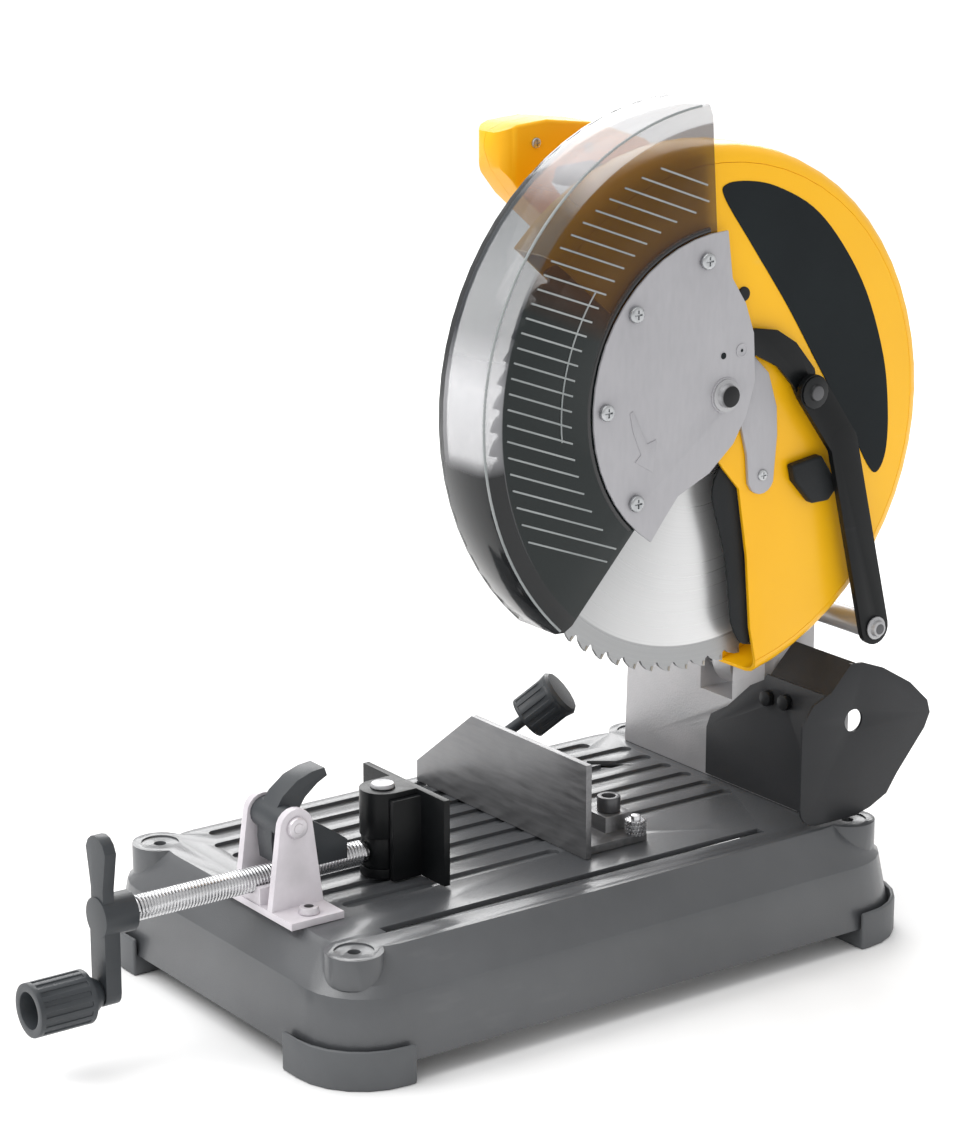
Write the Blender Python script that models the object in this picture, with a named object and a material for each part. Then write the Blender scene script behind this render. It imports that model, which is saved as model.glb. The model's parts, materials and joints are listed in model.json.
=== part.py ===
"""Metal-cutting chop saw with a 14 inch toothed blade, modelled piece by piece.

Metres, +Z up, +X to the operator's right, the operator stands at -Y.
Every piece is one closed solid with its own object; a moving piece hangs under an
empty that sits on its joint's axis. The whole saw is centred on its bounding box,
with its rubber feet on Z = 0.
"""

import math

import bmesh
import bpy
from mathutils import Matrix, Vector

# ---------------------------------------------------------------- clearances
GAP = 0.0003             # between two pieces that touch
RUN = 0.0003             # radial, between a shaft and its bore
WALL_BITE = 0.002        # how far a cutter runs past a wall

# ---------------------------------------------------------------- base
BASE_HALF_X = 0.165
BASE_HALF_Y = 0.253
BASE_CORNER = 0.050
BASE_RIM_Z = 0.015       # lower edge of the skirt
BASE_TOP_Z = 0.085
BASE_WALL = 0.004
SHOULDER_Z = 0.060
SHOULDER_IN = 0.007      # how far the skirt leans in up to the shoulder
LEDGE_IN = 0.006
TOP_IN = 0.031           # how far the top plateau's edge stands in from the rim

FOOT_LONG_X = 0.067
FOOT_LONG_Y = 0.057
FOOT_Z = 0.028
FOOT_WALL = 0.004
FOOT_DEEP = 0.030

CORNER_BOSS_X = 0.126
CORNER_BOSS_Y = 0.217
CORNER_BOSS_R = 0.020
CORNER_HOLE_R = 0.0045

SLOT_WIDTH = 0.009
SLOT_FRONT_Y = -0.182
SLOT_REAR_Y = 0.149

# ---------------------------------------------------------------- blade and its drive
BLADE_X = 0.108
ARBOR_Y = 0.084
ARBOR_Z = 0.398
BLADE_R = 0.1778
BLADE_THICK = 0.0026
TEETH = 70
GULLET = 0.007
ARBOR_R = 0.0125
FLANGE_R = 0.038
FLANGE_THICK = 0.0065
ARBOR_BOLT_R = 0.0095
ARBOR_BOLT_HEAD = 0.006

MOTOR_OFFSET_Y = 0.0397
MOTOR_OFFSET_Z = 0.0068
GEAR_TEETH = 36
PINION_TEETH = 10
TOOTH_HIGH = 0.0011      # tooth tip above the pitch circle
TOOTH_DEEP = 0.0027
GEAR_THICK = 0.012

CASE_LEFT_X = 0.028
CASE_RIGHT_X = 0.074
CASE_R = 0.047
CASE_MOTOR_R = 0.036
CASE_WALL = 0.005
NOSE_R = 0.026

MOTOR_R = 0.046
MOTOR_WALL = 0.003
MOTOR_LENGTH = 0.088
CAP_LENGTH = 0.022
STATOR_LENGTH = 0.044
AIR_GAP = 0.0008
ARMATURE_R = 0.023
MOTOR_SHAFT_R = 0.005

# ---------------------------------------------------------------- arm and its pivot
PIVOT_Y = 0.215
PIVOT_Z = 0.180
PIVOT_R = 0.009
BOSS_R = 0.022
BOSS_LEFT_X = -0.003
BOSS_RIGHT_X = 0.0175
SPRING_WIRE = 0.0032
SPRING_R = 0.0142
SPRING_TURNS = 3

BRACKET_LEFT_X = -0.110
BRACKET_RIGHT_X = 0.055
SHOULDER_RIGHT_X = 0.095
BRACKET_FRONT_Y = 0.195
BRACKET_DEEP = 0.048
NOTCH_HALF = 0.0186
NOTCH_Z = 0.152
SHOULDER_TOP_Z = 0.176
LEFT_PILLAR_Z = 0.250
RIGHT_PILLAR_Z = 0.250

# ---------------------------------------------------------------- upper guard
GUARD_R = 0.192
GUARD_SHEET = 0.0025
GUARD_ROUND = 0.0115      # radius lost in the rounded rim
GUARD_LEFT_X = 0.083
GUARD_RIGHT_X = 0.126
GUARD_START = -77.0
GUARD_END = 137.0

# ---------------------------------------------------------------- lower guard, its lever and link
PIVOT_RISE = 0.023       # guard pivot above the arbor
SHROUD_R = 0.201
SHROUD_WALL = 0.003
SHROUD_LEFT_X = 0.082
SHROUD_RIGHT_X = 0.1333
SHROUD_INNER_R = 0.096
SHROUD_START = 94.0
SHROUD_END = 228.0
PLATE_R = 0.113
PLATE_THICK = 0.002
LEVER_THICK = 0.0032
SUPPORT_THICK = 0.003
GUARD_SCREW_R = 0.006
LINK_PIN_DY = 0.076
LINK_PIN_DZ = -0.007
LINK_FOOT_Y = 0.224
LINK_FOOT_Z = 0.233
LINK_BEND_DY = 0.029     # the bend in the link, from its upper end
LINK_BEND_DZ = -0.040
LINK_THICK = 0.0045
LINK_END_R = 0.0125
LINK_HOLE_R = 0.009
LINK_PIN_R = 0.004
CROSS_BAR_R = 0.009

# ---------------------------------------------------------------- chip deflector
SHEET = 0.002
DEFLECTOR_RIGHT_X = 0.129
DEFLECTOR_HOLE_R = 0.0085

# ---------------------------------------------------------------- vise
SCREW_X = 0.020
SCREW_Z = 0.1045
SCREW_R = 0.00875
SCREW_FRONT_Y = -0.325
JAW_PIN_Y = -0.122
JAW_PIN_R = 0.005
JAW_BODY_R = 0.0165
JAW_FACE_Y = -0.100
JAW_PLATE = 0.005
JAW_HALF = 0.050
JAW_LOW_Z = 0.0865
JAW_HIGH_Z = 0.149
EYE_HIGH = 0.022

EAR_LEFT_IN = 0.012      # inner face of each bracket ear from the screw's axis
EAR_RIGHT_IN = 0.024
EAR_THICK = 0.006
EAR_Y = -0.212
EAR_Z = 0.147
EAR_R = 0.013
EAR_FOOT = 0.021         # half length of the ear at its foot
FLANGE_OUT = 0.025
FLANGE_HIGH = 0.005
LEVER_PIN_R = 0.004
BRACKET_BOLT_R = 0.004
NUT_Y = -0.172
NUT_HALF = 0.012

HUB_R = 0.014
HUB_LONG = 0.025
CRANK_THICK = 0.012
PADDLE_LONG = 0.057
CRANK_LONG = 0.053
KNOB_R = 0.0185
KNOB_LONG = 0.042

# ---------------------------------------------------------------- fence
FENCE_Y = 0.008
FENCE_THICK = 0.005
FENCE_LEFT_X = -0.127
FENCE_RIGHT_X = 0.083
FENCE_HIGH = 0.070
FENCE_FOOT = 0.060
FENCE_PIVOT_X = 0.050
FENCE_PIVOT_Y = 0.054
FENCE_BOLT_R = 0.005
LOCK_X = -0.108
LOCK_Y = 0.048
LOCK_R = 0.004
FENCE_SWING = 45.0

# ---------------------------------------------------------------- handle
HANDLE_X = 0.020
HANDLE_HALF = 0.018
HANDLE_NOSE_Y = -0.034
HANDLE_FOOT_UP = 0.0045   # handle foot above the motor

# ---------------------------------------------------------------- values worked out from the above
BASE_DECK = BASE_TOP_Z + GAP
GUARD_PIVOT_Z = ARBOR_Z + PIVOT_RISE
MOTOR_Y = ARBOR_Y + MOTOR_OFFSET_Y
MOTOR_Z = ARBOR_Z + MOTOR_OFFSET_Z
HANDLE_FOOT_Z = MOTOR_Z + MOTOR_R + HANDLE_FOOT_UP
CENTRES = math.hypot(MOTOR_OFFSET_Y, MOTOR_OFFSET_Z)
MODULE_R = CENTRES / (GEAR_TEETH + PINION_TEETH)
BLADE_LEFT_X = BLADE_X - BLADE_THICK / 2
BLADE_RIGHT_X = BLADE_X + BLADE_THICK / 2
SUPPORT_X = GUARD_RIGHT_X + GAP
LEVER_RIGHT_X = SHROUD_RIGHT_X
LEVER_X = LEVER_RIGHT_X - LEVER_THICK
PLATE_X = SHROUD_RIGHT_X + GAP
LINK_X = PLATE_X + PLATE_THICK + 3 * GAP
LINK_RIGHT_X = LINK_X + LINK_THICK
LINK_PIN_Y = ARBOR_Y + LINK_PIN_DY
LINK_PIN_Z = GUARD_PIVOT_Z + LINK_PIN_DZ
MOTOR_RIGHT_X = CASE_LEFT_X - GAP
MOTOR_LEFT_X = MOTOR_RIGHT_X - MOTOR_LENGTH
CRANK_Y = SCREW_FRONT_Y - HUB_LONG

PARTS = {}


# ---------------------------------------------------------------- materials
def finish(name, colour, roughness, metallic=0.0, alpha=1.0):
    material = bpy.data.materials.new(name)
    material.use_nodes = True
    shader = material.node_tree.nodes["Principled BSDF"]
    shader.inputs["Base Color"].default_value = (*colour, 1.0)
    shader.inputs["Roughness"].default_value = roughness
    shader.inputs["Metallic"].default_value = metallic
    shader.inputs["Alpha"].default_value = alpha
    material.diffuse_color = (*colour, alpha)
    return material


# ---------------------------------------------------------------- outlines
def arc(centre, radius, start, end, count):
    """Points on an arc, angles in degrees, both ends included."""
    steps = [math.radians(start + (end - start) * i / count) for i in range(count + 1)]
    return [(centre[0] + radius * math.cos(a), centre[1] + radius * math.sin(a)) for a in steps]


def rounded(half_x, half_y, corner, count=6):
    """A rectangle with round corners, centred on the origin."""
    points = []
    for quarter, (sx, sy) in enumerate([(1, 1), (-1, 1), (-1, -1), (1, -1)]):
        centre = (sx * (half_x - corner), sy * (half_y - corner))
        points += arc(centre, corner, 90 * quarter, 90 * quarter + 90, count)
    return points


def belt(centre_a, radius_a, centre_b, radius_b, count=12):
    """The outline of a band stretched round two circles."""
    delta = Vector(centre_b) - Vector(centre_a)
    along = math.degrees(math.atan2(delta.y, delta.x))
    lean = math.degrees(math.acos((radius_a - radius_b) / delta.length))
    side_b = arc(centre_b, radius_b, along - lean, along + lean, count)
    return side_b + arc(centre_a, radius_a, along + lean, along + 360 - lean, count)


def toothed(teeth, root, tip, facing, gap_first):
    """A gear's outline of trapezoid teeth, with a gap or a tooth turned to the facing angle."""
    middle = 0.0 if gap_first else 0.5
    points = []
    for tooth in range(teeth):
        for share, radius in ((0.22, root), (0.37, tip), (0.63, tip), (0.78, root)):
            angle = facing + math.tau * (tooth + share - middle) / teeth
            points.append((radius * math.cos(angle), radius * math.sin(angle)))
    return points


def saw_outline(teeth, radius, gullet):
    """A saw blade's outline: a gullet in front of each tooth."""
    points = []
    for tooth in range(teeth):
        for share, depth in ((0.0, 0.0), (0.3, 0.0012), (0.62, gullet * 0.55), (0.8, gullet),
                             (0.95, gullet * 0.8)):
            angle = -math.tau * (tooth + share) / teeth
            points.append(((radius - depth) * math.cos(angle), (radius - depth) * math.sin(angle)))
    return points[::-1]


def moved(points, centre):
    return [(u + centre[0], v + centre[1]) for u, v in points]


# ---------------------------------------------------------------- solids
def place(axis, along, u, v):
    """A point from its distance along an axis and its two coordinates across it."""
    return {"X": (along, u, v), "Y": (u, along, v), "Z": (u, v, along)}[axis]


def solid(name, mesh):
    """A mesh object from a bmesh, with its faces turned outwards."""
    bmesh.ops.recalc_face_normals(mesh, faces=mesh.faces[:])
    data = bpy.data.meshes.new(name)
    mesh.to_mesh(data)
    mesh.free()
    thing = bpy.data.objects.new(name, data)
    bpy.context.scene.collection.objects.link(thing)
    return thing


def prism(name, outline, axis, low, high):
    """An outline pushed along an axis from low to high."""
    mesh = bmesh.new()
    ends = [[mesh.verts.new(place(axis, at, u, v)) for u, v in outline] for at in (low, high)]
    mesh.faces.new(ends[0][::-1])
    mesh.faces.new(ends[1])
    count = len(outline)
    for i in range(count):
        j = (i + 1) % count
        mesh.faces.new((ends[0][i], ends[0][j], ends[1][j], ends[1][i]))
    return solid(name, mesh)


def ring_faces(mesh, ring_a, ring_b):
    """Faces between two rings, either of which may be a single point."""
    count = max(len(ring_a), len(ring_b))
    for i in range(count):
        j = (i + 1) % count
        corners = [ring_a[i % len(ring_a)], ring_a[j % len(ring_a)], ring_b[j % len(ring_b)],
                   ring_b[i % len(ring_b)]]
        unique = list(dict.fromkeys(corners))
        if len(unique) > 2:
            mesh.faces.new(unique)


def turned(name, axis, centre, profile, steps=24, hollow=False):
    """A profile of (distance along, radius) points turned round an axis."""
    mesh = bmesh.new()
    rings = []
    for along, radius in profile:
        if radius == 0.0:
            rings.append([mesh.verts.new(place(axis, along, *centre))])
            continue
        circle = [math.tau * i / steps for i in range(steps)]
        rings.append([mesh.verts.new(place(axis, along, centre[0] + radius * math.cos(a),
                                           centre[1] + radius * math.sin(a))) for a in circle])
    pairs = list(zip(rings, rings[1:]))
    if hollow:
        pairs.append((rings[-1], rings[0]))
    for ring_a, ring_b in pairs:
        ring_faces(mesh, ring_a, ring_b)
    return solid(name, mesh)


def disc(name, axis, centre, radius, low, high, steps=24):
    return turned(name, axis, centre, [(low, 0.0), (low, radius), (high, radius), (high, 0.0)], steps)


def tube(name, axis, centre, inner, outer, low, high, steps=24):
    profile = [(low, inner), (low, outer), (high, outer), (high, inner)]
    return turned(name, axis, centre, profile, steps, hollow=True)


def box(name, low, high):
    outline = [(low[0], low[1]), (high[0], low[1]), (high[0], high[1]), (low[0], high[1])]
    return prism(name, outline, "Z", low[2], high[2])


def swept(name, sections, closed=False):
    """A closed section carried through a list of places; each section is a list of points."""
    mesh = bmesh.new()
    rings = [[mesh.verts.new(point) for point in section] for section in sections]
    pairs = list(zip(rings, rings[1:]))
    if closed:
        pairs.append((rings[-1], rings[0]))
    else:
        mesh.faces.new(rings[0])
        mesh.faces.new(rings[-1][::-1])
    for ring_a, ring_b in pairs:
        ring_faces(mesh, ring_a, ring_b)
    return solid(name, mesh)


def rod_between(name, start, end, stations, steps=16):
    """A round bar whose radius changes along a straight line: stations are (share, radius)."""
    axis = Vector(end) - Vector(start)
    turn = axis.to_track_quat("Z", "Y").to_matrix()
    sections = []
    for share, radius in stations:
        middle = Vector(start) + axis * share
        circle = [math.tau * i / steps for i in range(steps)]
        sections.append([middle + turn @ Vector((radius * math.cos(a), radius * math.sin(a),
                                                 0)) for a in circle])
    return swept(name, sections)


def combine(target, tools, operation):
    """Applies Booleans with the tools to the target, and removes the tools."""
    for tool in tools:
        change = target.modifiers.new(operation.lower(), "BOOLEAN")
        change.operation = operation
        change.solver = "EXACT"
        change.object = tool
        bpy.context.view_layer.update()
        graph = bpy.context.evaluated_depsgraph_get()
        result = bpy.data.meshes.new_from_object(target.evaluated_get(graph))
        target.modifiers.clear()
        target.data = result
        bpy.data.objects.remove(tool)
    target.data.name = target.name
    return target


def cut(target, *tools):
    return combine(target, tools, "DIFFERENCE")


def join(target, *tools):
    return combine(target, tools, "UNION")


def keep(thing, material, holder, smooth=True):
    """Gives a finished piece its material and hangs it under its body's empty."""
    thing.data.materials.clear()
    thing.data.materials.append(material)
    if smooth:
        thing.data.shade_smooth()
        thing.data.set_sharp_from_angle(angle=math.radians(35))
    origin = holder.matrix_world.translation
    thing.data.transform(Matrix.Translation(-origin))
    thing.parent = holder
    PARTS[thing.name] = thing
    return thing


def body(name, place_at, parent=None):
    """An empty on a joint's axis, which the body's pieces hang under."""
    holder = bpy.data.objects.new(name, None)
    bpy.context.scene.collection.objects.link(holder)
    holder.empty_display_size = 0.02
    if parent:
        holder.parent = parent
        holder.location = Vector(place_at) - parent.matrix_world.translation
    else:
        holder.location = place_at
    bpy.context.view_layer.update()
    return holder


# ---------------------------------------------------------------- base and feet
def deck_outline(inset):
    corner = max(BASE_CORNER - inset * 0.4, 0.012)
    return rounded(BASE_HALF_X - inset, BASE_HALF_Y - inset, corner)


def make_base(material, holder):
    levels = [(BASE_RIM_Z, 0.0), (SHOULDER_Z, SHOULDER_IN), (SHOULDER_Z + 0.006, SHOULDER_IN + LEDGE_IN),
              (BASE_TOP_Z - 0.004, TOP_IN - 0.004), (BASE_TOP_Z, TOP_IN)]
    inner = [(BASE_TOP_Z - BASE_WALL, TOP_IN + BASE_WALL * 0.6),
             (SHOULDER_Z + 0.004, SHOULDER_IN + LEDGE_IN + BASE_WALL),
             (SHOULDER_Z - 0.003, SHOULDER_IN + BASE_WALL),
             (BASE_RIM_Z, BASE_WALL)]
    mesh = bmesh.new()
    rings = [[mesh.verts.new((x, y, z)) for x, y in deck_outline(inset)] for z, inset in levels + inner]
    for ring_a, ring_b in zip(rings, rings[1:] + rings[:1]):
        if ring_a is rings[len(levels) - 1]:
            mesh.faces.new(ring_a)
            mesh.faces.new(ring_b)
        else:
            ring_faces(mesh, ring_a, ring_b)
    base = solid("base_shell", mesh)
    below = BASE_TOP_Z - BASE_WALL - WALL_BITE
    above = BASE_TOP_Z + WALL_BITE
    slot = box("slot", (BLADE_X - SLOT_WIDTH / 2, SLOT_FRONT_Y, below),
               (BLADE_X + SLOT_WIDTH / 2, SLOT_REAR_Y, above))
    holes = [slot, arc_slot("lock_slot", below, above)]
    holes.append(disc("hole", "Z", (FENCE_PIVOT_X, FENCE_PIVOT_Y), FENCE_BOLT_R + RUN, below, above, 16))
    for spot in bracket_bolt_spots():
        holes.append(disc("hole", "Z", spot, BRACKET_BOLT_R + RUN, below, above, 12))
    for spot in corner_spots():
        join(base, disc("boss", "Z", spot, CORNER_BOSS_R, SHOULDER_Z + 0.004, BASE_TOP_Z, 24))
        holes.append(disc("hole", "Z", spot, CORNER_HOLE_R, SHOULDER_Z, above, 16))
    keep(cut(base, *holes), material, holder)


def corner_spots():
    return [(side_x * CORNER_BOSS_X, side_y * CORNER_BOSS_Y) for side_x in (-1, 1) for side_y in (-1, 1)]


def arc_slot(name, low, high):
    """The slot that the fence's lock stud slides in when the fence swings."""
    reach = math.hypot(LOCK_X - FENCE_PIVOT_X, LOCK_Y - FENCE_PIVOT_Y)
    start = math.degrees(math.atan2(LOCK_Y - FENCE_PIVOT_Y, LOCK_X - FENCE_PIVOT_X)) % 360
    half = LOCK_R + 2 * RUN
    past = math.degrees(half / reach)
    centre = (FENCE_PIVOT_X, FENCE_PIVOT_Y)
    outer = arc(centre, reach + half, start + past, start - FENCE_SWING - past, 12)
    inner = arc(centre, reach - half, start - FENCE_SWING - past, start + past, 12)
    return prism(name, outer + inner, "Z", low, high)


def ear_edges():
    """The X of each ear's two faces, from the left ear's outer face to the right ear's."""
    left = SCREW_X - EAR_LEFT_IN
    right = SCREW_X + EAR_RIGHT_IN
    return left - EAR_THICK, left, right, right + EAR_THICK


def bracket_bolt_spots():
    edges = ear_edges()
    left, right = edges[0], edges[-1]
    return [(left - FLANGE_OUT * 0.55, EAR_Y), (right + FLANGE_OUT * 0.55, EAR_Y)]


def make_feet(material, holder):
    section = [(-FOOT_DEEP, 0.0), (FOOT_WALL, 0.0), (FOOT_WALL, FOOT_Z), (2 * GAP, FOOT_Z),
               (2 * GAP, BASE_RIM_Z - GAP), (-FOOT_DEEP, BASE_RIM_Z - GAP)]
    for side_x, word_x in ((-1, "left"), (1, "right")):
        for side_y, word_y in ((-1, "front"), (1, "rear")):
            stations = [((BASE_HALF_X - FOOT_LONG_X, BASE_HALF_Y), (0.0, 1.0))]
            centre = (BASE_HALF_X - BASE_CORNER, BASE_HALF_Y - BASE_CORNER)
            for step in range(7):
                angle = math.radians(90 - 15 * step)
                normal = (math.cos(angle), math.sin(angle))
                stations.append(((centre[0] + BASE_CORNER * normal[0], centre[1] + BASE_CORNER * normal[1]),
                                 normal))
            stations.append(((BASE_HALF_X, BASE_HALF_Y - FOOT_LONG_Y), (1.0, 0.0)))
            sections = [[(side_x * (spot[0] + normal[0] * out), side_y * (spot[1] + normal[1] * out), z)
                         for out, z in section] for spot, normal in stations]
            keep(swept(f"foot_{word_y}_{word_x}", sections), material, holder)


# ---------------------------------------------------------------- pivot bracket, shaft, spring
def make_pivot_bracket(material, holder):
    outline = [(BRACKET_LEFT_X, BASE_DECK), (SHOULDER_RIGHT_X, BASE_DECK),
               (SHOULDER_RIGHT_X, SHOULDER_TOP_Z),
               (BRACKET_RIGHT_X, SHOULDER_TOP_Z), (BRACKET_RIGHT_X, RIGHT_PILLAR_Z),
               (NOTCH_HALF, RIGHT_PILLAR_Z),
               (NOTCH_HALF, NOTCH_Z), (-NOTCH_HALF, NOTCH_Z), (-NOTCH_HALF, LEFT_PILLAR_Z),
               (BRACKET_LEFT_X + 0.006, LEFT_PILLAR_Z)]
    rear = BRACKET_FRONT_Y + BRACKET_DEEP
    bracket = prism("pivot_bracket", outline, "Y", BRACKET_FRONT_Y, rear)
    bore = disc("bore", "X", (PIVOT_Y, PIVOT_Z), PIVOT_R + RUN, BRACKET_LEFT_X - 0.01,
                BRACKET_RIGHT_X + 0.01)
    under = box("under", (BRACKET_LEFT_X + 0.012, BRACKET_FRONT_Y + 0.010, BASE_DECK - WALL_BITE),
                (SHOULDER_RIGHT_X - 0.012, rear - 0.010, NOTCH_Z - 0.012))
    socket = disc("socket", "X", (LINK_FOOT_Y, LINK_FOOT_Z), CROSS_BAR_R * 0.7 + RUN,
                  BRACKET_RIGHT_X - 0.016,
                  BRACKET_RIGHT_X + WALL_BITE)
    tapped = [disc("tapped", "Y", spot, LINK_PIN_R + RUN, BRACKET_FRONT_Y - WALL_BITE,
                   BRACKET_FRONT_Y + 0.008, 12)
              for spot in deflector_bolt_spots()]
    keep(cut(bracket, bore, under, socket, *tapped), material, holder)


def make_pivot_shaft(material, holder):
    left = BRACKET_LEFT_X - 0.002
    right = BRACKET_RIGHT_X + 0.002
    head = PIVOT_R + 0.004
    profile = [(left - 0.006, 0.0), (left - 0.006, head), (left, head), (left, PIVOT_R), (right, PIVOT_R),
               (right, 0.0)]
    keep(turned("pivot_shaft", "X", (PIVOT_Y, PIVOT_Z), profile), material, holder)


def make_return_spring(material, holder):
    """A close coil round the pivot shaft, between the left pillar and the arm's boss."""
    start = -NOTCH_HALF + SPRING_WIRE / 2 + GAP
    room = BOSS_LEFT_X - GAP - SPRING_WIRE / 2 - start
    steps = 14 * SPRING_TURNS
    sections = []
    for step in range(steps + 1):
        angle = math.tau * SPRING_TURNS * step / steps
        middle = (start + room * step / steps, PIVOT_Y, PIVOT_Z)
        out = Vector((0.0, math.cos(angle), math.sin(angle)))
        ring = []
        for corner in range(6):
            turn = math.tau * corner / 6
            reach = SPRING_R + SPRING_WIRE / 2 * math.cos(turn)
            ring.append(Vector(middle) + out * reach + Vector((SPRING_WIRE / 2 * math.sin(turn), 0, 0)))
        sections.append(ring)
    keep(swept("return_spring", sections), material, holder)


# ---------------------------------------------------------------- chip deflector
def deflector_bolt_spots():
    return [(0.064, 0.166), (0.084, 0.168)]


def make_deflector(material, bolt_material, holder):
    back_y = BRACKET_FRONT_Y - GAP
    right = DEFLECTOR_RIGHT_X
    back = [(-0.008, BASE_DECK + 0.002), (right - 0.001, BASE_DECK + 0.002), (right - 0.001, 0.183),
            (0.060, 0.183),
            (0.057, 0.178), (0.042, 0.170), (0.016, 0.147), (-0.003, 0.136), (-0.008, 0.124)]
    plate = prism("chip_deflector", back, "Y", back_y - SHEET, back_y)
    hood = [(back_y - SHEET, 0.181), (back_y, 0.179), (0.2185, 0.2030), (0.2170, 0.2050)]
    side = ([(0.168, 0.165), (0.168, 0.107)] + arc((0.183, 0.102), 0.015, 180, 270, 4)
            + [(0.221, 0.0868), (0.236, 0.0905), (0.252, 0.098), (0.262, 0.112), (0.288, 0.142),
               (0.293, 0.153),
               (0.290, 0.163), (0.272, 0.180), (0.245, 0.196), (0.225, 0.2035), (0.213, 0.2045),
               (0.195, 0.186),
               (0.178, 0.179)])
    join(plate, prism("hood", hood, "X", 0.062, right - 0.0005),
         prism("side", side, "X", right - SHEET, right))
    window = disc("window", "X", (0.217, 0.161), DEFLECTOR_HOLE_R, right - SHEET - WALL_BITE,
                  right + WALL_BITE)
    holes = [disc("hole", "Y", spot, LINK_PIN_R + RUN, back_y - SHEET - WALL_BITE, back_y + 0.001, 12)
             for spot in deflector_bolt_spots()]
    keep(cut(plate, window, *holes), material, holder, smooth=False)
    face = back_y - SHEET - GAP
    for number, spot in enumerate(deflector_bolt_spots(), 1):
        profile = [(face - 0.005, 0.0), (face - 0.005, 0.006), (face, 0.006), (face, LINK_PIN_R),
                   (back_y + 0.006, LINK_PIN_R), (back_y + 0.006, 0.0)]
        keep(turned(f"deflector_bolt_{number}", "Y", spot, profile, 12), bolt_material, holder)


# ---------------------------------------------------------------- arm with its gear case
def make_arm(material, holder):
    case = prism("arm_casting", belt((ARBOR_Y, ARBOR_Z), CASE_R, (MOTOR_Y, MOTOR_Z), CASE_MOTOR_R), "X",
                 CASE_LEFT_X, CASE_RIGHT_X)
    nose = disc("nose", "X", (ARBOR_Y, ARBOR_Z), NOSE_R, CASE_RIGHT_X - WALL_BITE, GUARD_LEFT_X - GAP)
    knee_top = min(MOTOR_Z - MOTOR_R, ARBOR_Z - CASE_R) - 0.002
    neck = box("neck", (CASE_LEFT_X + GAP, ARBOR_Y - 0.016, knee_top - 0.012),
               (CASE_RIGHT_X - 0.012, ARBOR_Y + 0.056, knee_top + 0.012))
    knee = [(ARBOR_Y - 0.020, knee_top), (ARBOR_Y - 0.012, knee_top - 0.020),
            (ARBOR_Y + 0.030, knee_top - 0.048),
            (MOTOR_Y + 0.034, knee_top - 0.030), (MOTOR_Y + 0.022, knee_top)]
    web = [(ARBOR_Y + 0.008, knee_top - 0.004), (ARBOR_Y + 0.010, knee_top - 0.034),
           (PIVOT_Y - 0.018, PIVOT_Z + 0.010),
           (PIVOT_Y + 0.018, PIVOT_Z + 0.012), (MOTOR_Y + 0.046, knee_top - 0.030),
           (MOTOR_Y + 0.020, knee_top - 0.002)]
    boss = disc("boss", "X", (PIVOT_Y, PIVOT_Z), BOSS_R, BOSS_LEFT_X, BOSS_RIGHT_X)
    pad = box("pad", (CASE_LEFT_X + 0.001, ARBOR_Y - 0.012, ARBOR_Z + CASE_R - 0.008),
              (CASE_RIGHT_X - 0.020, ARBOR_Y + 0.048, HANDLE_FOOT_Z - GAP))
    shelf = box("shelf", (HANDLE_X - HANDLE_HALF, ARBOR_Y - 0.012, MOTOR_Z + MOTOR_R + 0.001),
                (CASE_LEFT_X + 0.004, ARBOR_Y + 0.048, HANDLE_FOOT_Z - GAP))
    join(case, nose, prism("knee", knee, "X", 0.001, CASE_RIGHT_X - 0.012),
         prism("web", web, "X", BOSS_LEFT_X + 0.0005, BOSS_RIGHT_X - 0.0005), boss, pad, shelf, neck)
    inside = belt((ARBOR_Y, ARBOR_Z), CASE_R - CASE_WALL, (MOTOR_Y, MOTOR_Z), CASE_MOTOR_R - CASE_WALL)
    cavity = prism("cavity", inside, "X", CASE_LEFT_X - WALL_BITE, CASE_RIGHT_X - CASE_WALL)
    spindle_bore = disc("bore", "X", (ARBOR_Y, ARBOR_Z), bearing_outer() + GAP, CASE_RIGHT_X - 0.008,
                        GUARD_LEFT_X + 0.002)
    pivot_bore = disc("pivot_bore", "X", (PIVOT_Y, PIVOT_Z), PIVOT_R + RUN, BOSS_LEFT_X - WALL_BITE,
                      BOSS_RIGHT_X + WALL_BITE)
    keep(cut(case, cavity, spindle_bore, pivot_bore), material, holder)


def spindle_r():
    return ARBOR_R - 0.002


def bearing_outer():
    return ARBOR_R + 0.0065


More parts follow.
